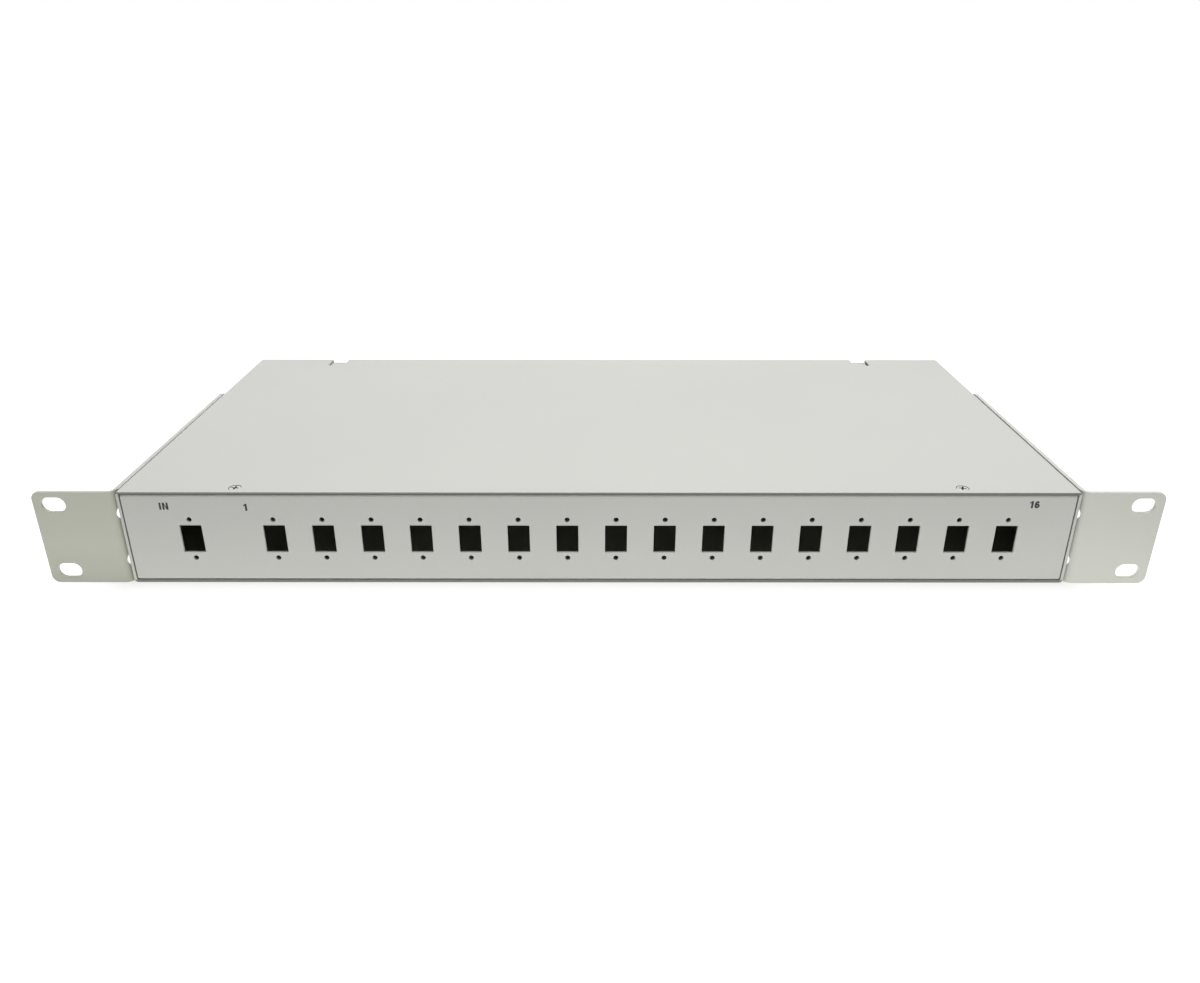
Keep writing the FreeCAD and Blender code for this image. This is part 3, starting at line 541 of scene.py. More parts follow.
def coverRests():
    # small angles on the rear wall that carry the cover beside its notches
    rest = coverRest
    wall = case["back"] - case["sheet"] - rest["gap"]
    foot = rest["top"] - rest["height"]
    tip = wall - rest["reach"]

    def bend(radius, share):
        turn = math.pi / 2 * share
        return (wall - rest["bend"] + radius * math.cos(turn),
                rest["top"] - rest["bend"] + radius * math.sin(turn))

    shares = [step / rest["steps"] for step in range(rest["steps"] + 1)]
    outline = [(wall, foot)] + [bend(rest["bend"], share) for share in shares]
    outline += [(tip, rest["top"]), (tip, rest["top"] - rest["sheet"])]
    outline += [bend(rest["bend"] - rest["sheet"], 1 - share) for share in shares]
    outline.append((wall - rest["sheet"], foot))
    solid = bmesh.new()
    for middle in rest["x"]:
        start = middle - rest["width"] / 2
        corners = [solid.verts.new(Vector((start, y, z)) * mm) for y, z in outline]
        face = solid.faces.new(corners)
        grown = bmesh.ops.extrude_face_region(solid, geom=[face])["geom"]
        moved = [v for v in grown if isinstance(v, bmesh.types.BMVert)]
        bmesh.ops.translate(solid, verts=moved, vec=(rest["width"] * mm, 0, 0))
    bmesh.ops.recalc_face_normals(solid, faces=solid.faces[:])
    edges = [edge for edge in solid.edges if edge.calc_face_angle(0) > rest["sharpAngle"]]
    bmesh.ops.bevel(solid, geom=edges, offset=rest["edge"] * mm, offset_type="OFFSET",
                    segments=easing["steps"], profile=easing["profile"], affect="EDGES",
                    clamp_overlap=True)
    markCreases(solid, easing["creaseAngle"])
    piece = keepMesh(solid, "coverRests", finish["case"])
    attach(piece, chassisBody)


coverRests()
print("folded sheets and mouldings done,", len(eased) + 1)


def turnedMesh(pieceName, profile, position, outward, material, segments=64):
    # closed ring turned from (radius, height) points in mm; height runs along outward
    solid = bmesh.new()
    facing = outward.to_track_quat("Z", "Y").to_matrix().to_4x4()
    place = Matrix.Translation(position) @ facing
    rings = []
    for radius, height in profile:
        ring = []
        for step in range(segments):
            angle = 2 * math.pi * step / segments
            spot = Vector((radius * math.cos(angle), radius * math.sin(angle), height)) * mm
            ring.append(solid.verts.new(place @ spot))
        rings.append(ring)
    for here, there in zip(rings, rings[1:] + rings[:1]):
        for step in range(segments):
            after = (step + 1) % segments
            solid.faces.new((here[step], here[after], there[after], there[step]))
    bmesh.ops.recalc_face_normals(solid, faces=solid.faces)
    markCreases(solid, easing["turnedCrease"])
    return keepMesh(solid, pieceName, material)


def arcPoints(radius, height, size, start, end, steps=5):
    # quarter rounding on a turned profile, angles in degrees
    points = []
    for step in range(steps + 1):
        angle = math.radians(start + (end - start) * step / steps)
        points.append((radius + size * math.cos(angle), height + size * math.sin(angle)))
    return points


grommet = {
    "bore": 6.0, "lip": 12.5, "neck": 10.0,
    "lipThickness": 1.9, "wall": 1.2, "rounding": 0.75,
}


def cableGrommet(nodeName, pieceName):
    low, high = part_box(nodeName)
    middle = (low + high) / 2
    seat = Vector((middle.x, high.y - grommet["lipThickness"] * mm, middle.z))
    size = grommet["rounding"]
    top = grommet["lipThickness"]
    under = -grommet["wall"]
    bottom = under - grommet["lipThickness"]
    face = grommet["lip"] - size
    inner = grommet["bore"] + size
    profile = arcPoints(inner, bottom + size, size, 180, 270)
    profile += arcPoints(face, bottom + size, size, 270, 360)
    profile += [(grommet["lip"], under), (grommet["neck"], under)]
    profile += [(grommet["neck"], 0), (grommet["lip"], 0)]
    profile += arcPoints(face, top - size, size, 0, 90)
    profile += arcPoints(inner, top - size, size, 90, 180)
    piece = turnedMesh(pieceName, profile, seat, Vector((0, 1, 0)), finish["rubber"])
    standIn(piece, nodeName)


cableGrommet("cable_grommet_right", "entryGrommetRight")
cableGrommet("cable_grommet_left", "entryGrommetLeft")

boot = {
    "bore": 0.6, "neck": 2.0, "wall": 2.0, "collar": 3.2, "collarLength": 1.2,
    "tip": 1.5, "length": 9.0, "ribs": 5, "ribDepth": 0.35,
    "ribShape": ((0.10, 0), (0.35, 0), (0.50, 1), (0.85, 1)),    # share of the pitch, sunk
    "segments": 40,
}


def inputBoot():
    # tapered rubber boot with bend-relief ribs
    low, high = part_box("input_boot")
    middle = (low + high) / 2
    seat = Vector((low.x + boot["length"] * mm, middle.y, middle.z))
    profile = [(boot["bore"], -boot["wall"]), (boot["neck"], -boot["wall"]), (boot["neck"], 0),
               (boot["collar"], 0), (boot["collar"], boot["collarLength"])]
    run = boot["length"] - boot["collarLength"]
    pitch = run / boot["ribs"]
    for index in range(boot["ribs"]):
        for part, sunk in boot["ribShape"]:
            along = (index + part) * pitch
            radius = boot["collar"] + (boot["tip"] - boot["collar"]) * along / run
            profile.append((radius - sunk * boot["ribDepth"], boot["collarLength"] + along))
    profile += [(boot["tip"], boot["length"]), (boot["bore"], boot["length"])]
    piece = turnedMesh("inputBoot", profile, seat, Vector((-1, 0, 0)), finish["rubber"],
                       boot["segments"])
    standIn(piece, "input_boot")


inputBoot()
print("rubber pieces done")


class FastenerTree:
    # builds the Geometry Nodes tree of one kind of fastener

    def __init__(self, name, sizes):
        self.tree = bpy.data.node_groups.new(name, "GeometryNodeTree")
        face = self.tree.interface
        face.new_socket("Geometry", in_out="OUTPUT", socket_type="NodeSocketGeometry")
        face.new_socket("Seats", in_out="INPUT", socket_type="NodeSocketGeometry")
        for title, value in sizes.items():
            kind = "NodeSocketInt" if isinstance(value, int) else "NodeSocketFloat"
            socket = face.new_socket(title, in_out="INPUT", socket_type=kind)
            socket.default_value = value
        face.new_socket("Finish", in_out="INPUT", socket_type="NodeSocketMaterial")
        self.entry = self.tree.nodes.new("NodeGroupInput")

    def size(self, title):
        return self.entry.outputs[title]

    def node(self, kind, links=None, **settings):
        made = self.tree.nodes.new(kind)
        for key, value in settings.items():
            setattr(made, key, value)
        for key, value in (links or {}).items():
            self.feed(made.inputs[key], value)
        return made

    def feed(self, socket, value):
        if isinstance(value, bpy.types.NodeSocket):
            self.tree.links.new(value, socket)
        else:
            socket.default_value = value

    def calc(self, operation, first, second=0.0):
        made = self.node("ShaderNodeMath", {0: first, 1: second}, operation=operation)
        return made.outputs[0]

    def plus(self, first, second):
        return self.calc("ADD", first, second)

    def minus(self, first, second):
        return self.calc("SUBTRACT", first, second)

    def times(self, first, second):
        return self.calc("MULTIPLY", first, second)

    def below(self, amount):
        return self.times(amount, -1.0)

    def point(self, x, y, z):
        return self.node("ShaderNodeCombineXYZ", {0: x, 1: y, 2: z}).outputs[0]

    def wrapGrid(self, columns, rows):
        # a flat grid to be wrapped round Z: its index gives the row and the turn
        grid = self.node("GeometryNodeMeshGrid", {"Vertices X": columns + 1, "Vertices Y": rows})
        index = self.node("GeometryNodeInputIndex").outputs[0]
        row = self.calc("MODULO", index, rows)
        column = self.calc("FLOOR", self.calc("DIVIDE", index, rows))
        turn = self.calc("DIVIDE", column, columns)
        return grid.outputs["Mesh"], row, turn

    def wrapped(self, mesh, spot, turn):
        angle = self.times(turn, 2 * math.pi)
        around = self.node("ShaderNodeVectorRotate", {"Vector": spot, "Angle": angle},
                           rotation_type="Z_AXIS")
        moved = self.node("GeometryNodeSetPosition",
                          {"Geometry": mesh, "Position": around.outputs[0]})
        return self.node("GeometryNodeMergeByDistance",
                         {"Geometry": moved.outputs[0], "Distance": easing["weld"]}).outputs[0]

    def turned(self, profile, columns):
        # closed shape turned from (radius, height) pairs, listed from its foot to its top
        mesh, row, turn = self.wrapGrid(columns, len(profile))
        chooser = self.node("GeometryNodeIndexSwitch", data_type="VECTOR")
        while len(chooser.index_switch_items) < len(profile):
            chooser.index_switch_items.new()
        self.feed(chooser.inputs[0], row)
        for number, (radius, height) in enumerate(profile):
            self.feed(chooser.inputs[number + 1], self.point(radius, 0.0, height))
        return self.wrapped(mesh, chooser.outputs[0], turn)

    def thread(self, radius, depth, pitch, low, high, rows=90, columns=24):
        # a rod with a real helical thread, closed at both ends
        mesh, row, turn = self.wrapGrid(columns, rows)
        part = self.calc("DIVIDE", row, rows - 1.0)
        climb = self.times(part, self.minus(high, low))
        height = self.plus(low, climb)
        phase = self.minus(self.calc("DIVIDE", height, pitch), turn)
        wave = self.times(self.calc("PINGPONG", phase, 0.5), 2.0)
        crest = self.minus(radius, self.times(wave, depth))
        edge = self.calc("MINIMUM", row, self.minus(rows - 1.0, row))
        taper = self.calc("MINIMUM", self.times(edge, 0.5), 1.0)
        bevel = self.times(self.minus(1.0, taper), depth)
        inside = self.calc("GREATER_THAN", edge, 0.5)
        reach = self.times(self.minus(crest, bevel), inside)
        return self.wrapped(mesh, self.point(reach, 0.0, height), turn)

    def bar(self, x, y, z, lift):
        cube = self.node("GeometryNodeMeshCube", {"Size": self.point(x, y, z)})
        return self.lifted(cube.outputs[0], lift)

    def without(self, body, tools):
        cut = self.node("GeometryNodeMeshBoolean", {"Mesh 1": body}, operation="DIFFERENCE",
                        solver="EXACT")
        for tool in tools:
            self.tree.links.new(tool, cut.inputs["Mesh 2"])
        return cut.outputs[0]

    def joined(self, parts):
        join = self.node("GeometryNodeJoinGeometry")
        for part in parts:
            self.tree.links.new(part, join.inputs[0])
        return join.outputs[0]

    def lifted(self, shape, amount):
        return self.node("GeometryNodeTransform",
                         {"Geometry": shape,
                          "Translation": self.point(0.0, 0.0, amount)}).outputs[0]

    def lowered(self, shape, amount):
        return self.lifted(shape, self.below(amount))

    def finish(self, shape):
        # one copy on every seat, turned to face outwards and by a seeded angle of its own
        facing = self.node("GeometryNodeInputNamedAttribute", {"Name": "facing"},
                           data_type="FLOAT_VECTOR")
        aligned = self.node("FunctionNodeAlignRotationToVector",
                            {"Vector": facing.outputs[0]}, axis="Z")
        chance = self.node("FunctionNodeRandomValue", {"Seed": self.size("Seed")},
                           data_type="FLOAT")
        angle = self.times(chance.outputs[1], 2 * math.pi)
        spin = self.node("FunctionNodeAxisAngleToRotation", {"Angle": angle})
        turned = self.node("FunctionNodeRotateRotation",
                           {"Rotation": aligned.outputs[0], "Rotate By": spin.outputs[0]},
                           rotation_space="LOCAL")
        copies = self.node("GeometryNodeInstanceOnPoints",
                           {"Points": self.size("Seats"), "Instance": shape,
                            "Rotation": turned.outputs[0]})
        real = self.node("GeometryNodeRealizeInstances", {"Geometry": copies.outputs[0]})
        painted = self.node("GeometryNodeSetMaterial",
                            {"Geometry": real.outputs[0], "Material": self.size("Finish")})
        output = self.tree.nodes.new("NodeGroupOutput")
        self.tree.links.new(painted.outputs[0], output.inputs[0])
        return self.tree


small = {                         # small forms that the fasteners share
    "joint": 0.05 * mm,           # how far a shaft runs into its head
    "rim": 0.04 * mm,             # drop at the edge of a flush head
    "mouth": 0.2 * mm,            # depth of the chamfer on a bore
    "cone": 0.577,                # rise of a thirty-degree chamfer
}


def crossCut(maker, top):
    # the two crossed bars that cut a cross-head recess
    long = maker.size("Cross length")
    wide = maker.size("Cross width")
    deep = maker.times(maker.size("Cross depth"), 2.0)
    return [maker.bar(long, wide, deep, top), maker.bar(wide, long, deep, top)]


def dome(maker, radius, height, form):
    # points from the side of a rounded head up to its flat middle
    points = []
    for step in range(form["domeSteps"] + 1):
        angle = math.radians(90 * step / form["domeSteps"])
        across = form["domeFlat"] + (1 - form["domeFlat"]) * math.cos(angle)
        rise = form["domeSide"] + form["domeRise"] * math.sin(angle)
        points.append((maker.times(radius, across), maker.times(height, rise)))
    return points


screwThread = {                   # shared by both kinds of screw
    "Shank radius": 1.45 * mm, "Thread depth": 0.22 * mm, "Pitch": 0.5 * mm,
    "Cross length": 3.4 * mm, "Cross width": 0.8 * mm, "Cross depth": 1.1 * mm,
}
sunkScrew = {
    "sizes": {
        **screwThread, "Head radius": 2.45 * mm, "Head rim": 0.08 * mm,
        "Length": 6.9 * mm, "Sunk": 0.14 * mm, "Seed": 7,
    },
    "flat": 0.93,                 # share of the head's radius
    "columns": 40,
}


def sunkScrewTree():
    maker = FastenerTree("countersunkScrew", sunkScrew["sizes"])
    head = maker.size("Head radius")
    rim = maker.below(maker.size("Head rim"))
    shank = maker.size("Shank radius")
    neck = maker.minus(rim, maker.minus(head, shank))
    flat = maker.times(head, sunkScrew["flat"])
    body = maker.turned([(0.0, neck), (shank, neck), (head, rim), (head, -small["rim"]),
                         (flat, 0.0), (0.0, 0.0)], sunkScrew["columns"])
    end = maker.below(maker.size("Length"))
    shaft = maker.thread(shank, maker.size("Thread depth"), maker.size("Pitch"), end,
                         maker.plus(neck, small["joint"]))
    whole = maker.joined([maker.without(body, crossCut(maker, 0.0)), shaft])
    return maker.finish(maker.lowered(whole, maker.size("Sunk")))


panScrew = {
    "sizes": {
        **screwThread, "Head radius": 2.68 * mm, "Head height": 1.9 * mm,
        "Length": 7.0 * mm, "Seed": 4,
    },
    "domeSteps": 6, "domeFlat": 0.62, "domeSide": 0.42, "domeRise": 0.54,
    "columns": 40,
}


def panScrewTree():
    maker = FastenerTree("panHeadScrew", panScrew["sizes"])
    head = maker.size("Head radius")
    tall = maker.size("Head height")
    profile = [(0.0, 0.0), (head, 0.0)] + dome(maker, head, tall, panScrew) + [(0.0, tall)]
    body = maker.turned(profile, panScrew["columns"])
    end = maker.below(maker.size("Length"))
    shaft = maker.thread(maker.size("Shank radius"), maker.size("Thread depth"),
                         maker.size("Pitch"), end, small["joint"])
    whole = maker.joined([maker.without(body, crossCut(maker, tall)), shaft])
    return maker.finish(maker.lowered(whole, tall))


rivet = {
    "sizes": {
        "Head radius": 2.7 * mm, "Shank radius": 1.6 * mm, "Dome height": 0.9 * mm,
        "Grip": 2.5 * mm, "Bulb radius": 2.4 * mm, "Tail": 4.5 * mm,
        "Mandrel radius": 0.85 * mm, "Mandrel depth": 0.8 * mm, "Seed": 2,
    },
    "bulbEnd": 0.6 * mm,          # length of each cone of the bulb
    "flat": 0.95, "edge": 0.985,  # shares of a flush head's radius
    "domeSteps": 5, "domeFlat": 0.5, "domeSide": 0.25, "domeRise": 0.75,
    "holeMouth": 1.12,            # share of the mandrel's radius, and so is the next
    "mandrelFlat": 0.5,
    "holeEdge": 0.1 * mm, "mandrelCrown": (0.2 * mm, 0.25 * mm),
    "columns": 36,
}


def rivetTree(name, flush):
    # blind rivet, flush or domed, with the broken mandrel down its middle
    maker = FastenerTree(name, rivet["sizes"])
    head = maker.size("Head radius")
    shank = maker.size("Shank radius")
    bulb = maker.size("Bulb radius")
    hole = maker.size("Mandrel radius")
    tall = 0.0 if flush else maker.size("Dome height")
    grip = maker.below(maker.size("Grip"))
    tail = maker.below(maker.size("Tail"))
    cone = maker.times(maker.minus(head, shank), -small["cone"])
    depth = maker.minus(tall, maker.size("Mandrel depth"))
    profile = [(0.0, tail), (shank, tail), (bulb, maker.plus(tail, rivet["bulbEnd"])),
               (bulb, maker.minus(grip, rivet["bulbEnd"])), (shank, grip)]
    if flush:
        profile += [(shank, cone), (maker.times(head, rivet["edge"]), -small["rim"]),
                    (maker.times(head, rivet["flat"]), 0.0)]
    else:
        profile += [(shank, 0.0), (head, 0.0)] + dome(maker, head, tall, rivet)
    crownSide, crownTop = rivet["mandrelCrown"]
    profile += [(maker.times(hole, rivet["holeMouth"]), tall),
                (hole, maker.minus(tall, rivet["holeEdge"])), (hole, depth),
                (maker.times(hole, rivet["mandrelFlat"]), maker.plus(depth, crownSide)),
                (0.0, maker.plus(depth, crownTop))]
    return maker.finish(maker.lowered(maker.turned(profile, rivet["columns"]), tall))


ringNut = {
    "sizes": {
        "Flange radius": 3.15 * mm, "Bore radius": 1.5 * mm, "Height": 1.5 * mm, "Seed": 3,
    },
    "flat": 0.94,                 # share of the flange's radius
    "mouth": 1.18,                # share of the bore's radius
    "columns": 36,
}


def ringNutTree():
    maker = FastenerTree("ringNut", ringNut["sizes"])
    flange = maker.size("Flange radius")
    bore = maker.size("Bore radius")
    foot = maker.below(maker.size("Height"))
    flat = maker.times(flange, ringNut["flat"])
    mouth = maker.times(bore, ringNut["mouth"])
    return maker.finish(maker.turned([
        (bore, foot), (flange, foot), (flange, -small["mouth"]), (flat, 0.0), (mouth, 0.0),
        (bore, -small["mouth"]), (bore, foot)], ringNut["columns"]))


hexNut = {
    "sizes": {
        "Flats": 5.5 * mm, "Height": 2.4 * mm, "Bore radius": 1.5 * mm, "Seed": 5,
    },
    "face": 0.475,                # radius of the flat face, in shares of the flats
    "cover": 1.001,               # the cone just clears the corners
    "mouth": 1.15,                # share of the bore's radius
    "columns": 48, "boreColumns": 30,
}


def hexNutTree():
    # a hexagon met by a double cone, which leaves the curved chamfers of a real nut
    maker = FastenerTree("hexNut", hexNut["sizes"])
    flats = maker.size("Flats")
    tall = maker.size("Height")
    bore = maker.size("Bore radius")
    corner = maker.calc("DIVIDE", flats, math.sqrt(3))
    foot = maker.below(tall)
    prism = maker.node("GeometryNodeMeshCylinder",
                       {"Vertices": 6, "Radius": corner, "Depth": tall})
    low = maker.lifted(prism.outputs["Mesh"], maker.times(foot, 0.5))
    face = maker.times(flats, hexNut["face"])
    drop = maker.times(maker.minus(corner, face), small["cone"])
    wide = maker.times(corner, hexNut["cover"])
    barrel = maker.turned([(0.0, foot), (face, foot), (wide, maker.plus(foot, drop)),
                           (wide, maker.below(drop)), (face, 0.0), (0.0, 0.0)],
                          hexNut["columns"])
    both = maker.node("GeometryNodeMeshBoolean", operation="INTERSECT", solver="EXACT")
    for shape in (low, barrel):
        maker.tree.links.new(shape, both.inputs["Mesh 2"])
    mouth = maker.times(bore, hexNut["mouth"])
    over = small["mouth"]
    under = maker.minus(foot, over)
    drill = maker.turned([(0.0, under), (mouth, under), (bore, maker.plus(foot, over)),
                          (bore, -over), (mouth, over), (0.0, over)], hexNut["boreColumns"])
    return maker.finish(maker.without(both.outputs[0], [drill]))


stud = {
    "sizes": {
        "Thread radius": 1.45 * mm, "Thread depth": 0.2 * mm, "Pitch": 0.5 * mm,
        "Length": 14.0 * mm, "Head radius": 1.4 * mm, "Head height": 0.4 * mm, "Seed": 9,
    },
    "flat": 0.96,                 # share of the head's radius
    "headEdge": 0.1 * mm,
    "columns": 36, "threadRows": 150,
}


def studTree():
    maker = FastenerTree("threadedStud", stud["sizes"])
    length = maker.below(maker.size("Length"))
    head = maker.size("Head radius")
    top = maker.plus(length, maker.size("Head height"))
    flat = maker.times(head, stud["flat"])
    plate = maker.turned([(0.0, length), (flat, length),
                          (head, maker.plus(length, stud["headEdge"])), (head, top),
                          (0.0, top)], stud["columns"])
    shaft = maker.thread(maker.size("Thread radius"), maker.size("Thread depth"),
                         maker.size("Pitch"), maker.minus(top, small["joint"]), 0.0,
                         stud["threadRows"])
    return maker.finish(maker.joined([plate, shaft]))


trees = {
    "sunkScrew": sunkScrewTree(),
    "panScrew": panScrewTree(),
    "flushRivet": rivetTree("flushRivet", True),
    "domedRivet": rivetTree("domedRivet", False),
    "ringNut": ringNutTree(),
    "hexNut": hexNutTree(),
    "stud": studTree(),
}
print("fastener trees ready,", len(trees))


def looseParts(nodeName):
    # corners of the box round each separate solid of a node
    solid = bmesh.new()
    solid.from_mesh(frame["nodes"][nodeName].data)
    bmesh.ops.remove_doubles(solid, verts=solid.verts, dist=easing["weld"])
    solid.verts.ensure_lookup_table()
    seen = set()
    boxes = []
    for start in solid.verts:
        if start.index in seen:
            continue
        seen.add(start.index)
        waiting = [start]
        members = []
        while waiting:
            vert = waiting.pop()
            members.append(vert.co)
            for edge in vert.link_edges:
                other = edge.other_vert(vert)
                if other.index not in seen:
                    seen.add(other.index)
                    waiting.append(other)
        low = Vector([min(co[axis] for co in members) for axis in range(3)])
        high = Vector([max(co[axis] for co in members) for axis in range(3)])
        boxes.append((low, high))
    solid.free()
    return boxes


def seatPoints(nodeName, outward):
    # the outward end of each solid of a node
    seats = []
    for low, high in looseParts(nodeName):
        middle = (low + high) / 2
        half = (high - low) / 2
        reach = sum(abs(outward[axis]) * half[axis] for axis in range(3))
        seats.append(middle + outward * reach)
    return seats


def seatMesh(name, nodeName, outward):
    # one vertex on each seat, with the way that it faces
    seats = seatPoints(nodeName, outward)
    mesh = bpy.data.meshes.new(name)
    mesh.from_pydata([tuple(seat) for seat in seats], [], [])
    facing = mesh.attributes.new("facing", "FLOAT_VECTOR", "POINT")
    for item in facing.data:
        item.vector = outward
    return mesh


recessShade = {"radius": 1.8, "deepest": 1.5, "floor": 0.7, "steep": 0.3}    # mm, last a cosine


def shadeRecess(piece, nodeName, outward):
    # painted shade: the walls and the floor of each cross recess are made dark
    seats = seatPoints(nodeName, outward)

    def inRecessShade(spot, normal):
        steep = abs(normal.dot(outward)) < recessShade["steep"]
        for seat in seats:
            away = spot - seat / mm
            depth = -away.dot(outward)
            across = (away + outward * depth).length
            within = across < recessShade["radius"] and 0.0 < depth < recessShade["deepest"]
            if within and (steep or depth > recessShade["floor"]):
                return True
        return False

    repaint(piece, "recessShade", inRecessShade)


def fit(pieceName, nodeName, treeName, outward, finishName, sizes):
    # runs the tree on a node's seats and keeps the plain mesh that it gives
    source = placed(pieceName + "Seats", seatMesh(pieceName, nodeName, outward))
    modifier = source.modifiers.new("fasteners", "NODES")
    modifier.node_group = trees[treeName]
    identifiers = {item.name: item.identifier for item in trees[treeName].interface.items_tree
                   if item.in_out == "INPUT"}
    for title, value in sizes.items():
        modifier[identifiers[title]] = value
    modifier[identifiers["Finish"]] = finish[finishName]
    graph = bpy.context.evaluated_depsgraph_get()
    mesh = bpy.data.meshes.new_from_object(source.evaluated_get(graph), depsgraph=graph)
    bpy.data.objects.remove(source)
    solid = bmesh.new()
    solid.from_mesh(mesh)
    bmesh.ops.remove_doubles(solid, verts=solid.verts, dist=easing["fineWeld"])
    markCreases(solid, easing["fastenerCrease"])
    piece = keepMesh(solid, pieceName, finish[finishName])
    if "Screw" in treeName:
        shadeRecess(piece, nodeName, outward)
    standIn(piece, nodeName)


def lengthAlong(nodeName, axis):
    low, high = looseParts(nodeName)[0]
    return high[axis] - low[axis]


right = Vector((1, 0, 0))
back = Vector((0, 1, 0))
up = Vector((0, 0, 1))
earthThread = {
    "Thread radius": 1.98 * mm, "Pitch": 0.7 * mm, "Thread depth": 0.28 * mm,
    "Head radius": 3.1 * mm, "Head height": 1.2 * mm,
}
cornerTail = lengthAlong("corner_rivets", 1) - rivet["sizes"]["Dome height"]

fasteners = [                     # piece, node, tree, the way it faces, finish, its own sizes
    ("coverScrews", "cover_screws", "sunkScrew", up, "zinc", {"Seed": 7}),
    ("earScrewsRight", "ear_screws_right", "sunkScrew", right, "zinc", {"Seed": 11}),
    ("earScrewsLeft", "ear_screws_left", "sunkScrew", -right, "zinc", {"Seed": 12}),
    ("rearScrews", "rear_screws", "panScrew", back, "zinc", {}),
    ("panelRivets", "panel_rivets", "flushRivet", -up, "rivet",
     {"Grip": 2.4 * mm, "Tail": lengthAlong("panel_rivets", 2)}),
    ("cornerRivets", "corner_rivets", "domedRivet", back, "rivet", {"Tail": cornerTail}),
    ("coverNuts", "cover_nuts", "ringNut", -up, "zinc", {}),
    ("rearNuts", "rear_nuts", "ringNut", -back, "zinc", {}),
    ("sideNutsRight", "side_nuts_right", "ringNut", -right, "zinc", {}),
    ("sideNutsLeft", "side_nuts_left", "ringNut", right, "zinc", {}),
    ("moduleNuts", "module_nuts", "hexNut", up, "zinc", {}),
    ("trayNuts", "tray_nuts", "hexNut", up, "zinc", {"Seed": 6}),
    ("earthNut", "earth_nut", "hexNut", back, "brass",
     {"Flats": 7.0 * mm, "Height": lengthAlong("earth_nut", 1), "Bore radius": 2.05 * mm}),
    ("moduleStuds", "module_studs", "stud", up, "zinc",
     {"Length": lengthAlong("module_studs", 2)}),
    ("trayStuds", "tray_studs", "stud", up, "zinc", {"Length": lengthAlong("tray_studs", 2)}),
    ("earthStud", "earth_stud", "stud", back, "zinc",
     {"Length": lengthAlong("earth_stud", 1), **earthThread}),
]
for fastener in fasteners:
    fit(*fastener)
print("fasteners done,", len(fasteners))


lettering = {                     # middle and foot of each word in mm
    "IN": {"x": -185.8, "foot": 35.6},
    "1": {"x": -151.0, "foot": 35.1},
    "16": {"x": 186.0, "foot": 36.6},
}
glyph = {
    "height": 3.3,                # mm, the rest in shares of the height
    "stem": 0.25,
    "letterWidth": 0.74,
    "diagonal": 0.27,             # rise of the diagonal's cut ends
    "oneWidth": 0.44,
    "flag": (0.78, 0.61, 0.74),   # upper and lower end, and foot, of the one's flag
    "flagTop": 0.03,
    "sixWidth": 0.66,
    "bowl": 0.33,                 # middle of the six's bowl
    "hookStart": 40,              # degrees
    "gap": 0.18,
    "inkProud": 0.05,             # mm
    "inkSunk": 0.02,
    "crease": 30,                 # degrees
}


def shapeI():
    stem = glyph["stem"]
    return [[(0, 0), (stem, 0), (stem, 1), (0, 1)]], stem


def shapeN():
    stem = glyph["stem"]
    wide = glyph["letterWidth"]
    drop = glyph["diagonal"]
    outline = [(0, 0), (stem, 0), (stem, 1 - drop), (wide - stem, 0), (wide, 0), (wide, 1),
               (wide - stem, 1), (wide - stem, drop), (stem, 1), (0, 1)]
    return [outline], wide


def shapeOne():
    stem = glyph["stem"]
    wide = glyph["oneWidth"]
    left = wide - stem
    upper, lower, foot = glyph["flag"]
    return [[(left, 0), (wide, 0), (wide, 1), (left + glyph["flagTop"], 1), (0, upper),
             (0, lower), (left, foot)]], wide


def band(centreX, centreY, reachX, reachY, start, end, steps=18):
    # part of an elliptic ring, one stem wide, from one angle to another
    half = glyph["stem"] / 2
    outer = []
    inner = []
    for step in range(steps + 1):
        angle = math.radians(start + (end - start) * step / steps)
        for side, line in ((half, outer), (-half, inner)):
            line.append((centreX + (reachX + side) * math.cos(angle),
                         centreY + (reachY + side) * math.sin(angle)))
    return outer + inner[::-1]


def shapeSix():
    # a closed bowl, and a stroke that leaves its left side and curls over the top
    wide = glyph["sixWidth"]
    half = glyph["stem"] / 2
    reach = wide / 2 - half
    bowl = glyph["bowl"]
    left = band(wide / 2, bowl, reach, bowl - half, 90, 270)
    right = band(wide / 2, bowl, reach, bowl - half, -90, 90)
    hook = band(wide / 2, 0.5, reach, 0.5 - half, glyph["hookStart"], 180)
    return [left, right, hook], wide


glyphShapes = {"I": shapeI, "N": shapeN, "1": shapeOne, "6": shapeSix}


def printedWord(word, spot):
    # flat letters on the face of the front panel, as thick as a film of ink
    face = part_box("front_panel")[0].y
    size = glyph["height"] * mm
    outlines = []
    start = 0
    for letter in word:
        shapes, wide = glyphShapes[letter]()
        for shape in shapes:
            outlines.append([(start + across, rise) for across, rise in shape])
        start += wide + glyph["gap"]
    middle = (start - glyph["gap"]) / 2
    solid = bmesh.new()
    for outline in outlines:
        front = []
        for across, rise in outline:
            front.append(solid.verts.new((spot["x"] * mm + (across - middle) * size,
                                          face - glyph["inkProud"] * mm,
                                          spot["foot"] * mm + rise * size)))
        film = solid.faces.new(front)
        grown = bmesh.ops.extrude_face_region(solid, geom=[film])["geom"]
        for item in grown:
            if isinstance(item, bmesh.types.BMVert):
                item.co.y = face + glyph["inkSunk"] * mm
    bmesh.ops.recalc_face_normals(solid, faces=solid.faces)
    markCreases(solid, glyph["crease"])
    return keepMesh(solid, "portNumber_" + word, finish["ink"])


for word, spot in lettering.items():
    letters = printedWord(word, spot)
    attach(letters, chassisBody)
print("lettering done")


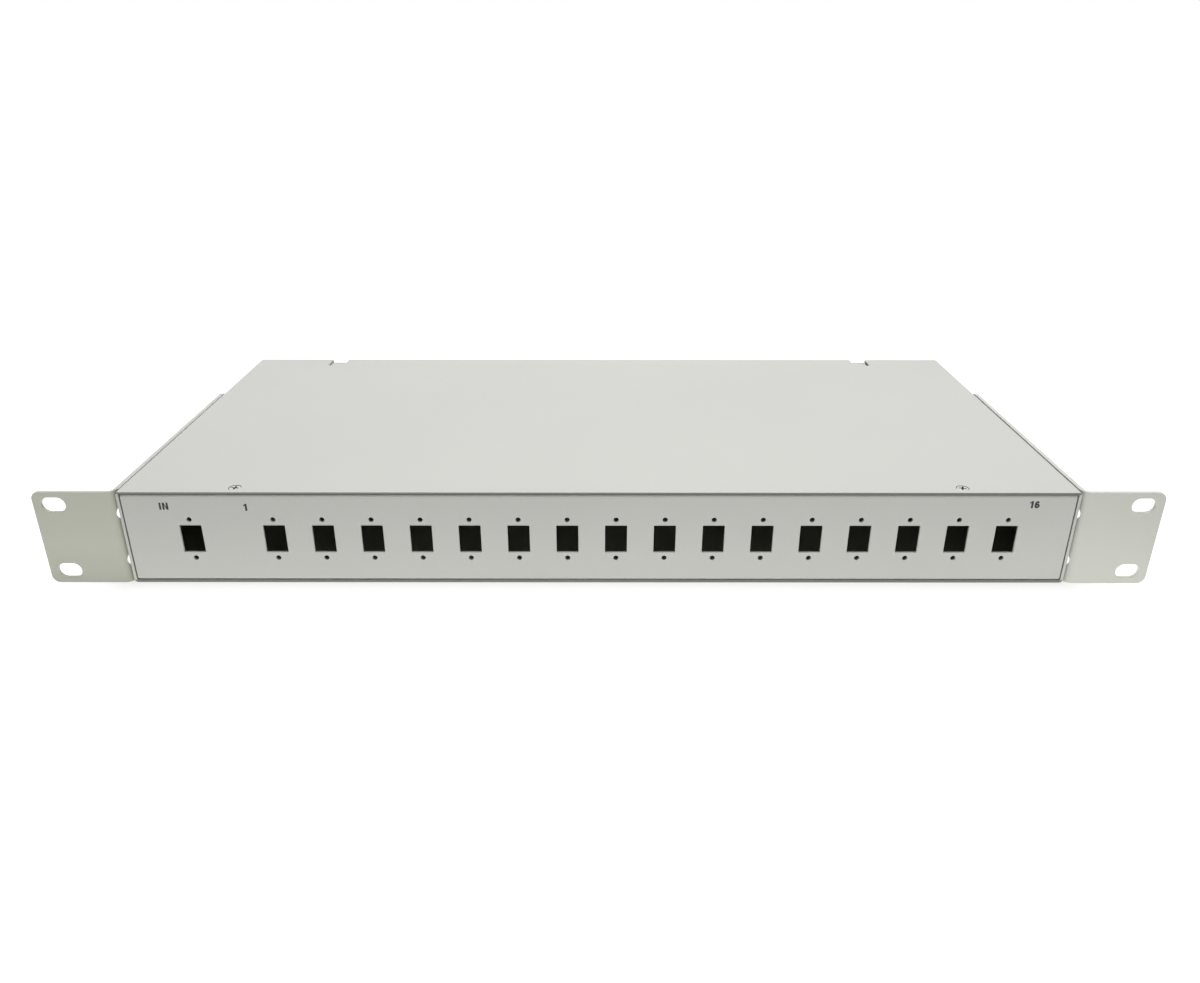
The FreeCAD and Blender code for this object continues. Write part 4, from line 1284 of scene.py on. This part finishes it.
studio = {
    "floorColour": (0.86, 0.86, 0.85),
    "floorSize": 14.0,
    "floorDrop": 0.1 * mm,       # below the feet of the case
    "seenShare": 0.50,           # how much of the light on the floor the camera sees
    "seenGlow": (0.58, 1.0),     # plain white that is added, beside the case and far off
    "seenReach": (0.0, 0.045),   # metres from the case between those two
    "paperGlowLight": (0.62, 0.10),      # painted light: the paper glows and lights the object, beside the object and far off
    "paperGlowLightReach": (0.0, 0.12),
    "ambient": 0.15,
    "softboxSize": (0.9, 0.7),
    "softboxHeight": 0.95,
    "softboxPlace": (0.03, -0.02),
    "softboxPower": 7.8,
    "sideSize": 0.6,
    "sidePlace": (0.75, -1.2, 0.30),
    "sideAim": (0, 0, 0.02),
    "sidePower": 0.4,
}


def cameraOrMirror(tree):
    # 1 for rays that show the backdrop straight, in a mirror or through glass
    path = tree.nodes.new("ShaderNodeLightPath")
    seen = path.outputs["Is Camera Ray"]
    for ray in ("Is Glossy Ray", "Is Transmission Ray"):
        either = tree.nodes.new("ShaderNodeMath")
        either.operation = "MAXIMUM"
        tree.links.new(seen, either.inputs[0])
        tree.links.new(path.outputs[ray], either.inputs[1])
        seen = either.outputs[0]
    return seen


def fading(tree, footprint, reach, besideValue, farValue):
    # a value that changes with the distance on the floor from a footprint
    low, high = footprint
    half = (max(-low.x, high.x), max(-low.y, high.y), 1.0)
    place = tree.nodes.new("ShaderNodeTexCoord")
    last = place.outputs["Object"]
    for operation, amount in (("ABSOLUTE", None), ("SUBTRACT", half), ("MAXIMUM", (0, 0, 0))):
        step = tree.nodes.new("ShaderNodeVectorMath")
        step.operation = operation
        tree.links.new(last, step.inputs[0])
        if amount:
            step.inputs[1].default_value = amount
        last = step.outputs["Vector"]
    distance = tree.nodes.new("ShaderNodeVectorMath")
    distance.operation = "LENGTH"
    tree.links.new(last, distance.inputs[0])
    fade = tree.nodes.new("ShaderNodeMapRange")
    fade.inputs["From Min"].default_value = reach[0]
    fade.inputs["From Max"].default_value = reach[1]
    fade.inputs["To Min"].default_value = besideValue
    fade.inputs["To Max"].default_value = farValue
    tree.links.new(distance.outputs["Value"], fade.inputs["Value"])
    return fade.outputs["Result"]


def glowingPaper(tree, colour, strength):
    paper = tree.nodes.new("ShaderNodeBsdfDiffuse")
    paper.inputs["Color"].default_value = (*colour, 1)
    glow = tree.nodes.new("ShaderNodeEmission")
    both = tree.nodes.new("ShaderNodeAddShader")
    tree.links.new(strength, glow.inputs["Strength"])
    tree.links.new(paper.outputs[0], both.inputs[0])
    tree.links.new(glow.outputs[0], both.inputs[1])
    return both.outputs[0]


def whiteFloor():
    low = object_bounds()[0].z - studio["floorDrop"]
    half = studio["floorSize"] / 2
    corners = [(-half, -half, low), (half, -half, low), (half, half, low), (-half, half, low)]
    mesh = bpy.data.meshes.new("studioFloor")
    mesh.from_pydata(corners, [], [(0, 1, 2, 3)])
    floor = placed("studioFloor", mesh)
    material = bpy.data.materials.new("floorPaper")
    material.use_nodes = True
    tree = material.node_tree
    tree.nodes.clear()
    paperGlowLight = fading(tree, cadBox, studio["paperGlowLightReach"], *studio["paperGlowLight"])
    lit = glowingPaper(tree, studio["floorColour"], paperGlowLight)
    glow = fading(tree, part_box("base_tray"), studio["seenReach"], *studio["seenGlow"])
    seen = glowingPaper(tree, [studio["seenShare"]] * 3, glow)
    mix = tree.nodes.new("ShaderNodeMixShader")
    output = tree.nodes.new("ShaderNodeOutputMaterial")
    tree.links.new(cameraOrMirror(tree), mix.inputs[0])
    tree.links.new(lit, mix.inputs[1])
    tree.links.new(seen, mix.inputs[2])
    tree.links.new(mix.outputs[0], output.inputs["Surface"])
    mesh.materials.append(material)


def whiteSurround():
    world = bpy.data.worlds.new("studioWorld")
    bpy.context.scene.world = world
    world.use_nodes = True
    tree = world.node_tree
    background = tree.nodes["Background"]
    strength = tree.nodes.new("ShaderNodeMapRange")
    strength.inputs["To Min"].default_value = studio["ambient"]
    strength.inputs["To Max"].default_value = 1.0
    tree.links.new(cameraOrMirror(tree), strength.inputs["Value"])
    tree.links.new(strength.outputs["Result"], background.inputs["Strength"])
    background.inputs["Color"].default_value = (1, 1, 1, 1)


def areaLamp(name, place, target, size, power):
    lamp = bpy.data.lights.new(name, "AREA")
    lamp.shape = "RECTANGLE"
    lamp.size, lamp.size_y = size
    lamp.energy = power
    holder = placed(name, lamp)
    holder.location = place
    aim = Vector(target) - Vector(place)
    holder.rotation_euler = aim.to_track_quat("-Z", "Y").to_euler()


def lights():
    x, y = studio["softboxPlace"]
    areaLamp("overheadSoftbox", (x, y, studio["softboxHeight"]), (0, 0, 0),
             studio["softboxSize"], studio["softboxPower"])
    areaLamp("sideSoftbox", studio["sidePlace"], studio["sideAim"],
             (studio["sideSize"], studio["sideSize"]), studio["sidePower"])


view = {
    "place": (0.0003, -0.4704, 0.2128),    # metres
    "tiltDown": 24.55,                     # degrees, and so are the next two
    "turn": -0.03,
    "roll": 0.055,
    "lens": 28.71,                         # mm, and so is the next
    "sensor": 36.0,
    "clip": (0.01, 50),
}


def camera():
    data = bpy.data.cameras.new("camera")
    data.lens = view["lens"]
    data.sensor_width = view["sensor"]
    data.clip_start, data.clip_end = view["clip"]
    holder = placed("camera", data)
    holder.location = view["place"]
    turn = Matrix.Rotation(math.radians(view["turn"]), 3, "Z")
    tilt = Matrix.Rotation(math.radians(90 - view["tiltDown"]), 3, "X")
    roll = Matrix.Rotation(math.radians(view["roll"]), 3, "Z")
    holder.rotation_euler = (turn @ tilt @ roll).to_euler()
    bpy.context.scene.camera = holder


whiteFloor()
whiteSurround()
lights()
camera()
bpy.context.scene.view_settings.view_transform = "Standard"
print("studio ready")
